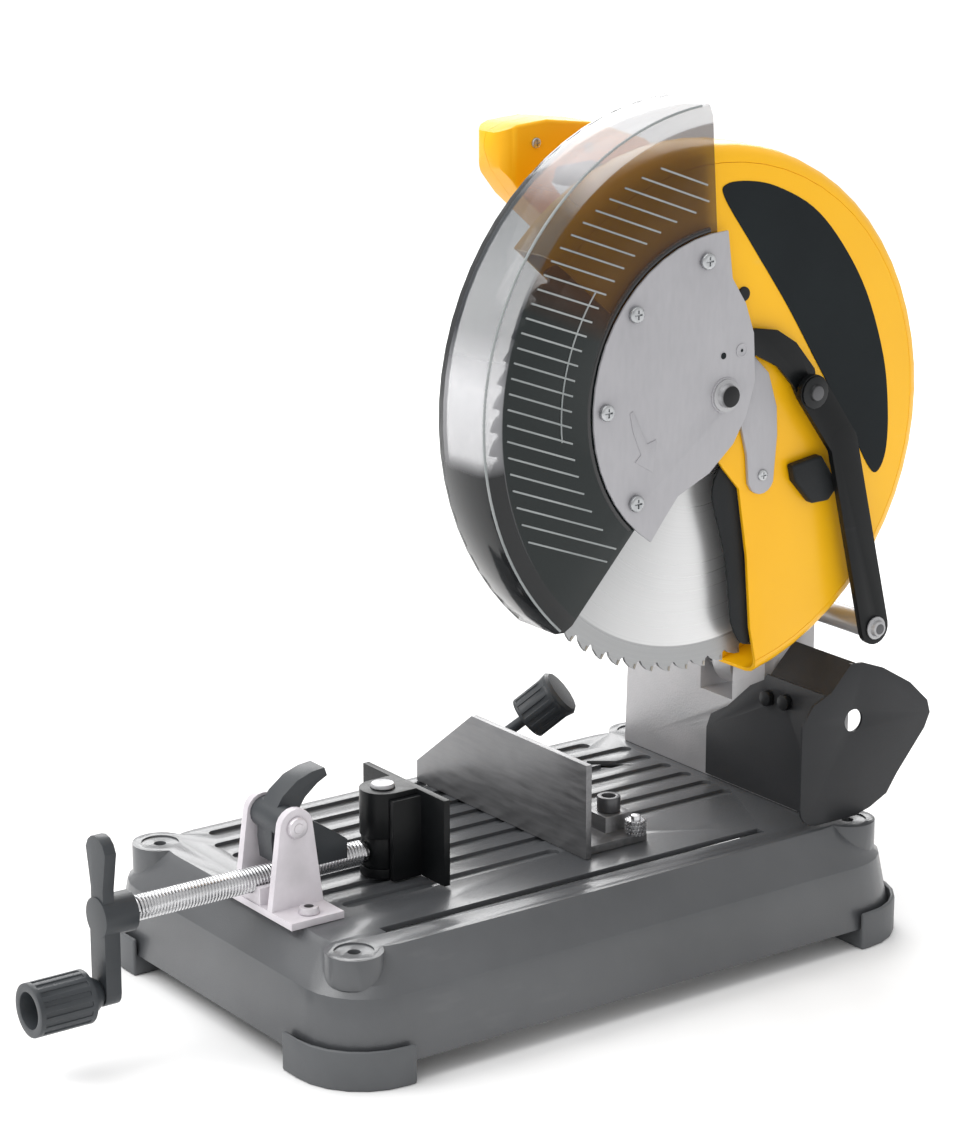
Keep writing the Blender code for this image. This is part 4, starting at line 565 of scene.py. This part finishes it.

# %% [markdown]
# The plain parts need only rounded edges and their own finish. Two tables of node, finish, edge width
# and slot keep this short: one of the parts that stand on the base, and one of those on the arm. The
# screws and pins take a third table, with the colours of head and of the painted shade in its socket.

# %% Rounded copies of the standing parts
STANDING = [
    ("foot_front_left", foot_rubber, 0.0025, "black_rubber"),
    ("foot_front_right", foot_rubber, 0.0025, "black_rubber"),
    ("foot_rear_left", foot_rubber, 0.0025, "black_rubber"),
    ("foot_rear_right", foot_rubber, 0.0025, "black_rubber"),
    ("pivot_bracket", cast, 0.0020, "cast_aluminium"),
    ("chip_deflector", sheet_paint, 0.0005, "black_paint"),
    ("vise_bracket", white_cast, 0.0009, "cast_aluminium"),
    ("vise_jaw", black_paint, 0.0007, "black_paint"),
    ("screw_eye", black_paint, 0.0008, "zinc_steel"),
    ("release_lever", dark_plastic, 0.0016, "dark_plastic"),
    ("crank", dark_plastic, 0.0022, "dark_plastic"),
    ("fence", fence_steel, 0.0005, "fence_grey"),
]
for node, finish, width, slot_name in STANDING:
    refine(node, finish, width, 3)

MOVING = [
    ("arm_casting", cast, 0.0016, "cast_aluminium"),
    ("upper_guard", yellow_paint, 0.0007, "yellow_housing"),
    ("motor_housing", yellow_nylon, 0.0010, "yellow_plastic"),
    ("motor_end_cap", dark_plastic, 0.0008, "dark_plastic"),
    ("guard_support", plate_paint, 0.0006, "plate_silver"),
    ("guard_plate", plate_paint, 0.0005, "plate_silver"),
    ("stop_bumper", rubber, 0.0020, "black_rubber"),
    ("guard_lever", black_paint, 0.0006, "black_paint"),
    ("guard_link", black_paint, 0.0008, "black_paint"),
    ("guard_liner", rubber, 0.0006, "black_rubber"),
    ("trigger", dark_plastic, 0.0025, "dark_plastic"),
    ("cord_gland", rubber, 0.0008, "black_rubber"),
    ("inner_flange", flange_steel, 0.0008, "blade_steel"),
    ("outer_flange", flange_steel, 0.0008, "blade_steel"),
]
for node, finish, width, slot_name in MOVING:
    refine(node, finish, width, 3)

SILVER = (0.42, 0.42, 0.43)
PALE = (0.68, 0.65, 0.68)
BLACK = (0.012, 0.013, 0.014)
SOCKET_SHADE = (0.010, 0.010, 0.011)
GREY = (0.10, 0.10, 0.105)
ALONG_X, ALONG_Z = 0, 2
SOCKET_SHARE, WIDE_SOCKET_SHARE = 0.42, 0.62
# Each row: node, head colour, painted shade colour for the socket, axis.
FASTENERS = [
    ("deflector_bolt_1", BLACK, GREY, ALONG_X),
    ("deflector_bolt_2", BLACK, GREY, ALONG_X),
    ("bracket_bolt_1", PALE, SOCKET_SHADE, ALONG_Z),
    ("bracket_bolt_2", PALE, SOCKET_SHADE, ALONG_Z),
    ("lever_pin", PALE, PALE, ALONG_X),
    ("jaw_pin", SILVER, SILVER, ALONG_Z),
    ("fence_pivot_bolt", GREY, SOCKET_SHADE, ALONG_Z),
    ("link_bolt", SILVER, GREY, ALONG_X),
    ("link_pin", BLACK, GREY, ALONG_X),
    ("link_cross_bar", SILVER, SILVER, ALONG_X),
    ("guard_pivot_screw", SILVER, SOCKET_SHADE, ALONG_X),
    ("pivot_shaft", SILVER, SILVER, ALONG_X),
    ("arbor_bolt", SILVER, SOCKET_SHADE, ALONG_X),
]
for node, rim_colour, socket_shade_colour, axis in FASTENERS:
    share = WIDE_SOCKET_SHARE if node == "guard_pivot_screw" else SOCKET_SHARE
    refine(node, socketed(node, rim_colour, socket_shade_colour, axis, share), 0.0005, 2)
print(len(STANDING), "standing parts,", len(MOVING), "moving parts,", len(FASTENERS), "fasteners")

# %% [markdown]
# Inside the case, the gears, armature and bearing are seldom seen. They and the blade keep their CAD
# meshes, and take a finish in their own slots. The tinted guard gets a copy with rounded edges.

# %% Inner parts, blade and tinted guard
UNCHANGED = {"spindle": zinc, "spindle_gear": bright_steel, "spindle_bearing": bright_steel,
             "armature": copper, "motor_pinion": bright_steel, "cooling_fan": dark_plastic,
             "stator": copper, "return_spring": bright_steel, "saw_blade": blade_steel}
for node, finish in UNCHANGED.items():
    for place in nodes[node].material_slots:
        place.material = finish
print("these keep their CAD mesh:", sorted(UNCHANGED))

refine("lower_guard", smoke, 0.0005, 2, 50)

# %% [markdown]
# The Screw modifier winds the outline of one thread round the axis, one turn for each pitch, over a
# plain core with rounded ends. A thinner tail runs on into the eye of the jaw.

# %% Vise screw
THREAD_PITCH = 0.0025
THREAD_DEEP = 0.0010
CREST_HALF = 0.0004
TAIL_RADIUS = 0.0048


def vise_screw():
    low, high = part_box("vise_screw")
    axis = ((low.x + high.x) / 2, (low.z + high.z) / 2)
    crest = (high.x - low.x) / 2
    root = crest - THREAD_DEEP
    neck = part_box("screw_eye")[0].y - 0.001
    turns = int((neck - low.y - 0.004) / THREAD_PITCH)
    bpy.ops.mesh.primitive_plane_add(size=THREAD_PITCH, location=(0, 0, 0))
    thread = bpy.context.object
    pick(thread, "EDGE", lambda edge: edge.verts[0].co.x < 0 and edge.verts[1].co.x < 0)
    bpy.ops.mesh.delete(type="EDGE")
    leave_edit()
    places = [(root, THREAD_PITCH / 2), (crest, CREST_HALF), (crest, -CREST_HALF), (root, -THREAD_PITCH / 2)]
    order = sorted(thread.data.vertices, key=lambda v: (-v.co.y, v.co.x if v.co.y > 0 else -v.co.x))
    for vert, (radius, along) in zip(order, places):
        vert.co = (radius, along, 0)
    thread.location = (axis[0], low.y + 0.003, axis[1])
    select_only(thread)
    bpy.ops.object.modifier_add(type="SCREW")
    wind = thread.modifiers[-1]
    wind.axis = "Y"
    wind.iterations = turns
    wind.steps = wind.render_steps = 24
    wind.screw_offset = THREAD_PITCH
    wind.use_merge_vertices = False
    bpy.ops.object.modifier_apply(modifier=wind.name)
    bpy.ops.mesh.primitive_cylinder_add(vertices=32, radius=root + 0.0001, depth=neck - low.y,
                                        location=(axis[0], (low.y + neck) / 2, axis[1]),
                                        rotation=(math.pi / 2, 0, 0))
    core = bpy.context.object
    soften(core, 0.0012, 2)
    bpy.ops.mesh.primitive_cylinder_add(vertices=24, radius=TAIL_RADIUS, depth=high.y - neck + 0.002,
                                        location=(axis[0], (high.y + neck) / 2 - 0.001, axis[1]),
                                        rotation=(math.pi / 2, 0, 0))
    tail = bpy.context.object
    soften(tail, 0.0005, 2)
    whole = join_all("vise_screw_finished", [core, tail, thread])
    smooth(whole, 40)
    return wear(whole, bright_steel, "vise_screw", ["vise_screw"])


print("vise screw faces:", len(vise_screw().data.polygons))

# %% [markdown]
# Both hand knobs are ribbed sleeves. Each begins as a cylinder of four sides to a bar. Two of every
# four are pushed in a little, which leaves raised grip bars, and the end is inset and sunk as a cup.

# %% Ribbed knobs
def ribbed_sleeve(name, radius, length, bars, cup_radius, cup_depth):
    """A grip sleeve on the Z axis with its cup at the top end."""
    bpy.ops.mesh.primitive_cylinder_add(vertices=bars * 4, radius=radius, depth=length, end_fill_type="NGON")
    sleeve = bpy.context.object
    sleeve.name = name
    pick(sleeve, "FACE", lambda face: face.normal.z > 0.9)
    bpy.ops.mesh.inset(thickness=radius - cup_radius)
    bpy.ops.mesh.extrude_region_move(TRANSFORM_OT_translate={"value": (0, 0, -cup_depth)})
    bpy.ops.mesh.inset(thickness=cup_radius * 0.3)
    leave_edit()

    def on_the_side(face):
        return abs(face.normal.z) < 0.3 and face.calc_center_median().xy.length > radius * 0.9

    pick(sleeve, "FACE", on_the_side)
    bpy.ops.mesh.inset(thickness=length * 0.09, use_boundary=True)
    leave_edit()
    grip = length * 0.40

    def between_bars(face):
        centre = face.calc_center_median()
        turn = math.atan2(centre.y, centre.x) / math.tau * bars * 4
        outside = centre.xy.length > radius * 0.9 and abs(centre.z) < grip * 0.5
        return outside and int(math.floor(turn)) % 4 < 2

    pick(sleeve, "FACE", between_bars)
    bpy.ops.mesh.extrude_region_shrink_fatten(TRANSFORM_OT_shrink_fatten={"value": -0.0010})
    leave_edit()
    soften(sleeve, 0.0006, 2, 30)
    return sleeve


def crank_knob():
    low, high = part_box("crank_knob")
    radius = (high.x - low.x) / 2
    length = 0.042
    sleeve = ribbed_sleeve("crank_knob_finished", radius, length, 16, radius * 0.68, 0.016)
    sleeve.rotation_euler = (math.pi / 2, 0, 0)
    sleeve.location = ((low.x + high.x) / 2, low.y + length / 2, (low.z + high.z) / 2)
    bpy.ops.mesh.primitive_cone_add(vertices=32, radius1=0.0085, radius2=radius * 0.86,
                                    depth=high.y - low.y - length + 0.001,
                                    location=(sleeve.location.x, (low.y + length + high.y) / 2,
                                              sleeve.location.z),
                                    rotation=(math.pi / 2, 0, 0))
    neck = bpy.context.object
    soften(neck, 0.0012, 2)
    whole = join_all("crank_knob_finished", [sleeve, neck])
    return wear(whole, dark_plastic, "crank_knob", ["crank_knob"])


print("crank knob faces:", len(crank_knob().data.polygons))


def lock_lever():
    """The fence lock: hub and bent rod from the CAD piece, with a ribbed knob over its end."""
    piece = copy_of("fence_lock_lever", "fence_lock_lever_finished")
    soften(piece, 0.0012, 3)
    wear(piece, dark_plastic, "fence_lock", ["fence_lock_lever"])
    low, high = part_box("fence_lock_lever")
    foot = Vector((low.x + 0.009, low.y + 0.009, low.z + 0.024))
    tip = Vector((high.x - 0.014, high.y - 0.0145, high.z - 0.0125))
    line = (tip - foot).normalized()
    length = 0.030
    sleeve = ribbed_sleeve("lock_knob_grip", 0.0172, length, 14, 0.0125, 0.004)
    sleeve.rotation_mode = "QUATERNION"
    sleeve.rotation_quaternion = line.to_track_quat("Z", "Y")
    sleeve.location = tip - line * (length * 0.62)
    apply_place(sleeve)
    return wear(sleeve, dark_plastic, "fence_lock")


lock_lever()

# %% [markdown]
# A short stack of toothed washers stands on the fence's foot beside its pivot bolt. One ring is
# modelled from a cylinder whose alternate sides are drawn out, and copied up the stack.

# %% Toothed washers
def washer_stack():
    bolt_low, bolt_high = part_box("fence_pivot_bolt")
    foot_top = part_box("vise_jaw")[0].z + 0.0048
    centre = ((bolt_low.x + bolt_high.x) / 2 + 0.024, (bolt_low.y + bolt_high.y) / 2 + 0.006)
    rings = []
    for level in range(4):
        bpy.ops.mesh.primitive_cylinder_add(vertices=36, radius=0.0062, depth=0.0021,
                                            location=(centre[0], centre[1],
                                                    foot_top + 0.0013 + level * 0.0028),
                                            rotation=(0, 0, level * 0.11))
        ring = bpy.context.object
        pick(ring, "FACE", lambda face: abs(face.normal.z) < 0.3 and face.index % 2 == 0)
        bpy.ops.mesh.extrude_region_shrink_fatten(TRANSFORM_OT_shrink_fatten={"value": 0.0016})
        leave_edit()
        rings.append(ring)
    bpy.ops.mesh.primitive_cylinder_add(vertices=24, radius=0.0035, depth=0.014,
                                        location=(*centre, foot_top + 0.0072))
    stud = bpy.context.object
    soften(stud, 0.0005, 2)
    stack = join_all("toothed_washers", [stud, *rings])
    soften(stack, 0.0002, 1)
    return wear(stack, bright_steel, "fence")


print("washer stack faces:", len(washer_stack().data.polygons))

# %% [markdown]
# A carbide tip is brazed to each tooth. One tip is a cube with one edge drawn in. Seventy copies are
# turned about the arbor and joined as one piece that spins with the blade.

# %% Carbide tips
TEETH = 70


def carbide_tips():
    radius = (blade_high.y - blade_low.y) / 2
    thick = blade_high.x - blade_low.x
    bpy.ops.mesh.primitive_cube_add(size=1)
    tip = bpy.context.object
    tip.dimensions = (thick + 0.0006, 0.0016, 0.0036)
    apply_place(tip)
    pick(tip, "EDGE", lambda edge: all(v.co.z > 0 and v.co.y > 0 for v in edge.verts))
    bpy.ops.transform.translate(value=(0, 0, -0.0008))
    leave_edit()
    tips = []
    for tooth in range(TEETH):
        select_only(tip)
        bpy.ops.object.duplicate()
        copy = bpy.context.object
        angle = -math.tau * (tooth + 0.06) / TEETH
        copy.rotation_euler = (angle - math.pi / 2, 0, 0)
        reach = radius - 0.0022
        copy.location = (arbor.x, arbor.y + reach * math.cos(angle), arbor.z + reach * math.sin(angle))
        tips.append(copy)
    bpy.data.objects.remove(tip)
    whole = join_all("carbide_tips", tips)
    return wear(whole, carbide, "blade")


print("carbide tip faces:", len(carbide_tips().data.polygons))

# %% [markdown]
# Fine ribs stiffen the flat wall of the tinted guard. They lie side by side at one slant, and each
# ends at the guard's curved rim on one side and at the plate's edge on the other. Their pale colour is
# painted highlight, the light that the clear ribs catch.

# %% Guard ribs
guard_low, guard_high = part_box("lower_guard")
RIB_SLANT = math.radians(20.2)
RIB_GAP = 0.0100
RIB_HIGH = 0.0013
RIB_IN, RIB_OUT = 0.1300, 0.1825
TOP_EDGE, TIP_EDGE = 0.5095, 0.4453
RIB_THICK, RIB_PROUD = 0.0010, 0.0003
RIBS_BELOW, RIBS_ABOVE = 13, 13
rib_along = Vector((0, math.cos(RIB_SLANT), -math.sin(RIB_SLANT)))
rib_up = Vector((0, math.sin(RIB_SLANT), math.cos(RIB_SLANT)))


def rib_span(across):
    """Where a rib starts and stops, measured along it from the guard pivot."""
    outer = RIB_OUT - max(0.0, across - 0.055) * 0.17
    start = -math.sqrt(outer ** 2 - across ** 2)
    stop = -math.sqrt(max(RIB_IN ** 2 - across ** 2, 0.0))
    edge = -TOP_EDGE * across if across > 0 else TIP_EDGE * across
    return start, min(stop, edge)


def guard_ribs():
    bars = []
    for step in range(-RIBS_BELOW, RIBS_ABOVE + 1):
        start, stop = rib_span(step * RIB_GAP)
        middle = guard_pivot + rib_along * (start + stop) / 2 + rib_up * step * RIB_GAP
        bpy.ops.mesh.primitive_cube_add(size=1, location=(guard_high.x + RIB_PROUD, middle.y, middle.z),
                                        rotation=(-RIB_SLANT, 0, 0))
        bar = bpy.context.object
        bar.dimensions = (RIB_THICK, stop - start, RIB_HIGH)
        apply_place(bar)
        bars.append(bar)
    print(len(bars), "guard ribs")
    whole = join_all("guard_ribs", bars)
    soften(whole, 0.0002, 1)
    return wear(whole, rib_highlight_paint, "lower_guard")


guard_ribs()


def guard_arc(name, radius, thick, x, start, end, finish):
    """A round bead laid along an arc about the guard pivot: one ring of faces, spun about X."""
    steps = max(12, int((end - start) / 3))
    first = math.radians(start)
    place = (x, guard_pivot.y + radius * math.cos(first), guard_pivot.z + radius * math.sin(first))
    bpy.ops.mesh.primitive_circle_add(vertices=10, radius=thick, fill_type="NGON",
                                      location=place, rotation=(first, 0, 0))
    bead = bpy.context.object
    apply_place(bead)
    select_only(bead)
    bpy.ops.object.mode_set(mode="EDIT")
    bpy.ops.mesh.select_all(action="SELECT")
    spin_centre = (x, guard_pivot.y, guard_pivot.z)
    bpy.ops.mesh.spin(steps=steps, angle=-math.radians(end - start), center=spin_centre, axis=(1, 0, 0))
    bpy.ops.mesh.select_all(action="SELECT")
    bpy.ops.mesh.normals_make_consistent(inside=False)
    leave_edit()
    bead.name = name
    bead.data.name = name
    smooth(bead, 50)
    return wear(bead, finish, "lower_guard")


# %% [markdown]
# The handle is moulded in two shells. Each copy has its outer edges bevelled wide, so that the grip
# is round in the hand while the seam between the shells stays crisp. Its screws, and those of the
# plate, share one cross-recessed head.

# %% Handle shells and screws
def handle_shell(node, side):
    low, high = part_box(node)
    face_x = high.x if side > 0 else low.x
    shell = copy_of(node, node + "_finished")

    def outer_edge(edge):
        return all(abs(v.co.x - face_x) < 0.0002 for v in edge.verts) and edge.calc_face_angle(0) > 0.4

    pick(shell, "EDGE", outer_edge)
    bpy.ops.mesh.bevel(offset=0.0075, segments=5, affect="EDGES", clamp_overlap=True)
    leave_edit()
    smooth(shell, 40)
    return wear(shell, yellow_nylon, "arm", [node])


handle_shell("handle_left", -1)
handle_shell("handle_right", 1)


def screw_head(name, place, direction, radius, body):
    """A pan head with a cross recess: a cylinder, domed by a bevel, with two bars cut from its top."""
    bpy.ops.mesh.primitive_cylinder_add(vertices=24, radius=radius, depth=radius * 0.7)
    head = bpy.context.object
    soften(head, radius * 0.28, 3)
    for turn in (0, math.pi / 2):
        bpy.ops.mesh.primitive_cube_add(size=1, location=(0, 0, radius * 0.35), rotation=(0, 0, turn))
        bar = bpy.context.object
        bar.dimensions = (radius * 1.1, radius * 0.22, radius * 0.5)
        carve(head, bar)
    head.name = name
    head.data.name = name
    head.rotation_mode = "QUATERNION"
    head.rotation_quaternion = Vector(direction).to_track_quat("Z", "Y")
    head.location = place
    apply_place(head)
    smooth(head)
    return wear(head, zinc, body)


right_low, right_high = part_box("handle_right")
HANDLE_SCREWS = [(0.030, 0.015), (0.075, 0.022), (0.165, 0.030), (0.172, 0.120)]
HANDLE_SCREW_RADIUS = 0.0036
for number, (back, down) in enumerate(HANDLE_SCREWS, 1):
    spot = (right_high.x + 0.0004, right_low.y + back, right_high.z - down)
    screw_head(f"handle_screw_{number}", spot, (1, 0, 0), HANDLE_SCREW_RADIUS, "arm")
for number in range(1, 5):
    low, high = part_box(f"plate_screw_{number}")
    radius = (high.y - low.y) / 2
    spot = (low.x + radius * 0.35, (low.y + high.y) / 2, (low.z + high.z) / 2)
    head = screw_head(f"plate_screw_{number}_finished", spot, (1, 0, 0), radius, "lower_guard")
    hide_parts(f"plate_screw_{number}")
print(len(HANDLE_SCREWS), "handle screws and 4 plate screws")

# %% [markdown]
# A plain black half-moon panel is stuck on the yellow guard. Its outline is a smooth closed curve
# through a few points, given from the arbor: the outer side runs beside the guard's rim, and the
# inner side is flatter. A black sheet of painted shade inside the guard and a plug are made in the same way.

# %% Guard panel, shade sheet and plug
wall_low, wall_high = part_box("upper_guard")


def sheet_from_outline(name, outline, x, thick):
    """A thin plate with this (y, z) outline and its outer face towards +X."""
    bpy.ops.mesh.primitive_circle_add(vertices=len(outline), radius=1, fill_type="NGON")
    plate = bpy.context.object
    plate.name = name
    plate.data.name = name
    for vert, (y, z) in zip(plate.data.vertices, outline):
        vert.co = (x, y, z)
    select_only(plate)
    bpy.ops.object.mode_set(mode="EDIT")
    bpy.ops.mesh.select_all(action="SELECT")
    bpy.ops.mesh.extrude_region_move(TRANSFORM_OT_translate={"value": (thick, 0, 0)})
    bpy.ops.mesh.select_all(action="SELECT")
    bpy.ops.mesh.normals_make_consistent(inside=False)
    leave_edit()
    return plate


def rounded_outline(points, steps=5):
    """A smooth closed curve through the points."""
    curve = []
    for i in range(len(points)):
        a, b, c, d = [points[(i + k - 1) % len(points)] for k in range(4)]
        for step in range(steps):
            t = step / steps
            curve.append(tuple(0.5 * (2 * q + (r - p) * t + (2 * p - 5 * q + 4 * r - w) * t * t
                                      + (3 * q - p - 3 * r + w) * t ** 3) for p, q, r, w in zip(a, b, c, d)))
    return curve


PANEL_OUTLINE = [(0.005, 0.1655), (0.025, 0.1660), (0.050, 0.1600), (0.083, 0.1430),
                 (0.110, 0.1160), (0.135, 0.0780), (0.1530, 0.0300), (0.1590, -0.0100),
                 (0.1580, -0.0400), (0.1500, -0.0540), (0.1400, -0.0460), (0.1180, -0.0090),
                 (0.0920, 0.0300), (0.0620, 0.0760), (0.0300, 0.1200), (0.0040, 0.1560)]


def guard_panel():
    outline = rounded_outline([(arbor.y + y, arbor.z + z) for y, z in PANEL_OUTLINE])
    panel = sheet_from_outline("guard_panel", outline[::-1], wall_high.x + 0.00005, 0.0005)
    soften(panel, 0.0002, 1)
    return wear(panel, label_and_shade_black, "arm")


guard_panel()

SHADE_SHEET_OUTLINE = [(0.0245, -0.0153), (0.0093, -0.0286), (0.0010, -0.0457), (0.0045, -0.0649),
                 (0.0131, -0.0943), (0.0180, -0.1264), (0.0205, -0.1458), (0.0290, -0.1610),
                 (0.0380, -0.1610), (0.0360, -0.1442), (0.0290, -0.0878), (0.0250, -0.0637),
                 (0.0250, -0.0482), (0.0330, -0.0180)]


def guard_shade_sheet():
    """A black sheet of painted shade just inside the guard's front edge, where the guard's dark inside would
    be.
    """
    outline = rounded_outline([(arbor.y + y, arbor.z + z) for y, z in SHADE_SHEET_OUTLINE], 3)
    shade_sheet = sheet_from_outline("guard_shade_sheet", outline[::-1], wall_high.x - 0.0052, 0.0020)
    soften(shade_sheet, 0.0006, 2)
    # Painted shade: a black sheet in the rubber finish, between the blade and the yellow wall.
    return wear(shade_sheet, rubber, "arm")


guard_shade_sheet()


def plug(name, y, z, radius):
    bpy.ops.mesh.primitive_cylinder_add(vertices=28, radius=radius, depth=0.0022,
                                        location=(wall_high.x + 0.0004, y, z), rotation=(0, math.pi / 2, 0))
    button = bpy.context.object
    button.name = name
    pick(button, "FACE", lambda face: abs(face.normal.z) > 0.9)
    bpy.ops.mesh.inset(thickness=radius * 0.35)
    bpy.ops.transform.resize(value=(1, 1, 0.6))
    leave_edit()
    soften(button, 0.0004, 2)
    apply_place(button)
    return wear(button, rubber, "arm")


plug("guard_plug", arbor.y + 0.022, arbor.z + 0.089, 0.0050)
print("the yellow guard carries a panel, a skirt and a plug")

# %% [markdown]
# The silver plate carries a raised arrow for the blade's turn, two small holes painted as dark spots of
# shade, and two pressed rings. The arrow is generic: a short bent shaft and a head. Beads run along the
# tinted guard's edges; the pale near one is a painted highlight.

# %% Plate marks and guard beads
plate_low, plate_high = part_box("guard_plate")


ARROW_OUTLINE = [(-0.0830, 0.0210), (-0.0800, 0.0225), (-0.0680, -0.0017), (-0.0600, 0.0005),
                 (-0.0625, -0.0220), (-0.0780, -0.0130), (-0.0730, -0.0085), (-0.0800, 0.0080)]


def plate_arrow():
    outline = [(arbor.y + y, arbor.z + z) for y, z in ARROW_OUTLINE]
    arrow = sheet_from_outline("plate_arrow", outline[::-1], plate_high.x - 0.0001, 0.0007)
    soften(arrow, 0.0003, 2)
    return wear(arrow, plate_paint, "lower_guard")


plate_arrow()


def plate_hole(name, y, z, radius, ring):
    """A dark spot of painted shade standing for a hole, with a pressed ring round it."""
    bpy.ops.mesh.primitive_torus_add(major_radius=radius, minor_radius=ring, major_segments=28,
                                     minor_segments=8,
                                     location=(plate_high.x, y, z), rotation=(0, math.pi / 2, 0))
    lip = bpy.context.object
    bpy.ops.mesh.primitive_cylinder_add(vertices=20, radius=radius, depth=0.0004,
                                        location=(plate_high.x + 0.0001, y, z),
                                        rotation=(0, math.pi / 2, 0))
    disc = bpy.context.object
    soften(disc, 0.0001, 1)
    smooth(lip)
    wear(join_all(name + "_lip", [lip]), plate_paint, "lower_guard")
    # The black spot is painted shade, standing in for the dark inside of the hole.
    return wear(join_all(name, [disc]), label_and_shade_black, "lower_guard")


plate_hole("plate_hole_1", arbor.y - 0.0026, arbor.z + 0.0506, 0.0026, 0.0004)
plate_hole("plate_hole_2", arbor.y + 0.0136, arbor.z + 0.0524, 0.0014, 0.0004)


def plate_ring(name, y, z, radius, high):
    """A raised ring pressed in the plate: a cylinder whose top is inset and sunk."""
    bpy.ops.mesh.primitive_cylinder_add(vertices=48, radius=radius, depth=high * 2, end_fill_type="NGON",
                                        location=(plate_high.x, y, z), rotation=(0, math.pi / 2, 0))
    ring = bpy.context.object
    ring.name = name
    apply_place(ring)
    pick(ring, "FACE", lambda face: face.normal.x > 0.9)
    bpy.ops.mesh.inset(thickness=radius * 0.22)
    bpy.ops.mesh.extrude_region_move(TRANSFORM_OT_translate={"value": (-high * 0.8, 0, 0)})
    leave_edit()
    soften(ring, high * 0.4, 2)
    return wear(ring, plate_paint, "lower_guard")


plate_ring("plate_ring_centre", guard_pivot.y, guard_pivot.z, 0.0125, 0.0008)
plate_ring("plate_ring_small", arbor.y + 0.0136, arbor.z + 0.0524, 0.0050, 0.0005)
BEADS = [
    ("guard_gasket", 0.1150, 0.0022, guard_high.x - 0.0015, 97, 226, bead_black),
    # A pale strip of painted highlight along the guard's near edge.
    ("guard_near_edge_highlight", 0.1985, 0.0009, guard_high.x - 0.0034, 96, 227, rib_highlight_paint),
    ("guard_far_bead", 0.1990, 0.0020, guard_low.x + 0.0022, 95, 227, bead_black),
    ("guard_inner_rib", 0.1385, 0.0006, guard_high.x + 0.0003, 143, 186, rib_highlight_paint),
]
for bead_row in BEADS:
    guard_arc(*bead_row)
SUPPORT_SCREW_RADIUS = 0.0042
support_low, support_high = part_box("guard_support")
spot = (support_high.x + 0.0002, arbor.y + 0.0400, arbor.z - 0.0400)
screw_head("support_screw", spot, (1, 0, 0), SUPPORT_SCREW_RADIUS, "arm")
print(len(BEADS), "guard beads")

# %% [markdown]
# The motor shows ribs along its barrel: one bar, repeated round the motor's axis except at the top,
# where the handle's foot stands.

# %% Motor ribs
motor_low, motor_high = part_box("motor_housing")
cap_low, cap_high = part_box("motor_end_cap")
motor_axis = ((cap_low.y + cap_high.y) / 2, (cap_low.z + cap_high.z) / 2)
barrel = (cap_high.z - cap_low.z) / 2 + 0.001
MOTOR_RIBS = 28


def motor_ribs():
    length = (motor_high.x - motor_low.x) * 0.52
    ribs = []
    for step in range(MOTOR_RIBS):
        angle = math.tau * step / MOTOR_RIBS
        reach = barrel + 0.0002
        place = (motor_low.x + length * 0.72, motor_axis[0] + reach * math.cos(angle),
                 motor_axis[1] + reach * math.sin(angle))
        if place[2] > motor_axis[1] + barrel * 0.90:
            continue
        bpy.ops.mesh.primitive_cube_add(size=1, location=place, rotation=(angle, 0, 0))
        rib = bpy.context.object
        rib.dimensions = (length, 0.0022, 0.0024)
        apply_place(rib)
        ribs.append(rib)
    whole = join_all("motor_ribs", ribs)
    soften(whole, 0.0005, 2)
    return wear(whole, yellow_nylon, "arm")


print("motor rib faces:", len(motor_ribs().data.polygons))

# %% [markdown]
# A plain pale floor and soft light finish the set. The key box stands high in front, a broad one
# behind makes the deck and the guard's rim shine, and a very wide sun lights all from above.

# %% Floor and lights
bpy.ops.mesh.primitive_plane_add(size=60, location=(0, 0, 0))
floor = bpy.context.object
floor.name = "floor"
paper = grained("pale_paper", (0.94, 0.94, 0.94), (0.97, 0.97, 0.97), 0.85, 400, 0.00002)
floor.data.materials.append(paper)

world = bpy.data.worlds.new("studio")
world.use_nodes = True
world.node_tree.nodes["Background"].inputs["Color"].default_value = (1.0, 1.0, 1.0, 1.0)
world.node_tree.nodes["Background"].inputs["Strength"].default_value = 0.74
bpy.context.scene.world = world


def soft_box(name, place, target, size, power):
    bpy.ops.object.light_add(type="AREA", location=place)
    lamp = bpy.context.object
    lamp.name = name
    lamp.data.shape = "RECTANGLE"
    lamp.data.size = size[0]
    lamp.data.size_y = size[1]
    lamp.data.energy = power
    lamp.rotation_mode = "QUATERNION"
    lamp.rotation_quaternion = (Vector(target) - Vector(place)).to_track_quat("-Z", "Y")
    return lamp


soft_box("key", (-0.6, -2.0, 2.2), (0, 0, 0.3), (1.6, 1.2), 22)
soft_box("rear_shine", (-2.2, 1.4, 1.5), (0, 0, 0.1), (2.0, 1.4), 40)
sun_tilt = (math.radians(14), math.radians(-16), 0)
bpy.ops.object.light_add(type="SUN", location=(-1.5, -1.0, 3.0), rotation=sun_tilt)
sun = bpy.context.object
sun.name = "soft_sky"
sun.data.energy = 1.45
sun.data.angle = math.radians(70)
bpy.context.scene.view_settings.view_transform = "Standard"
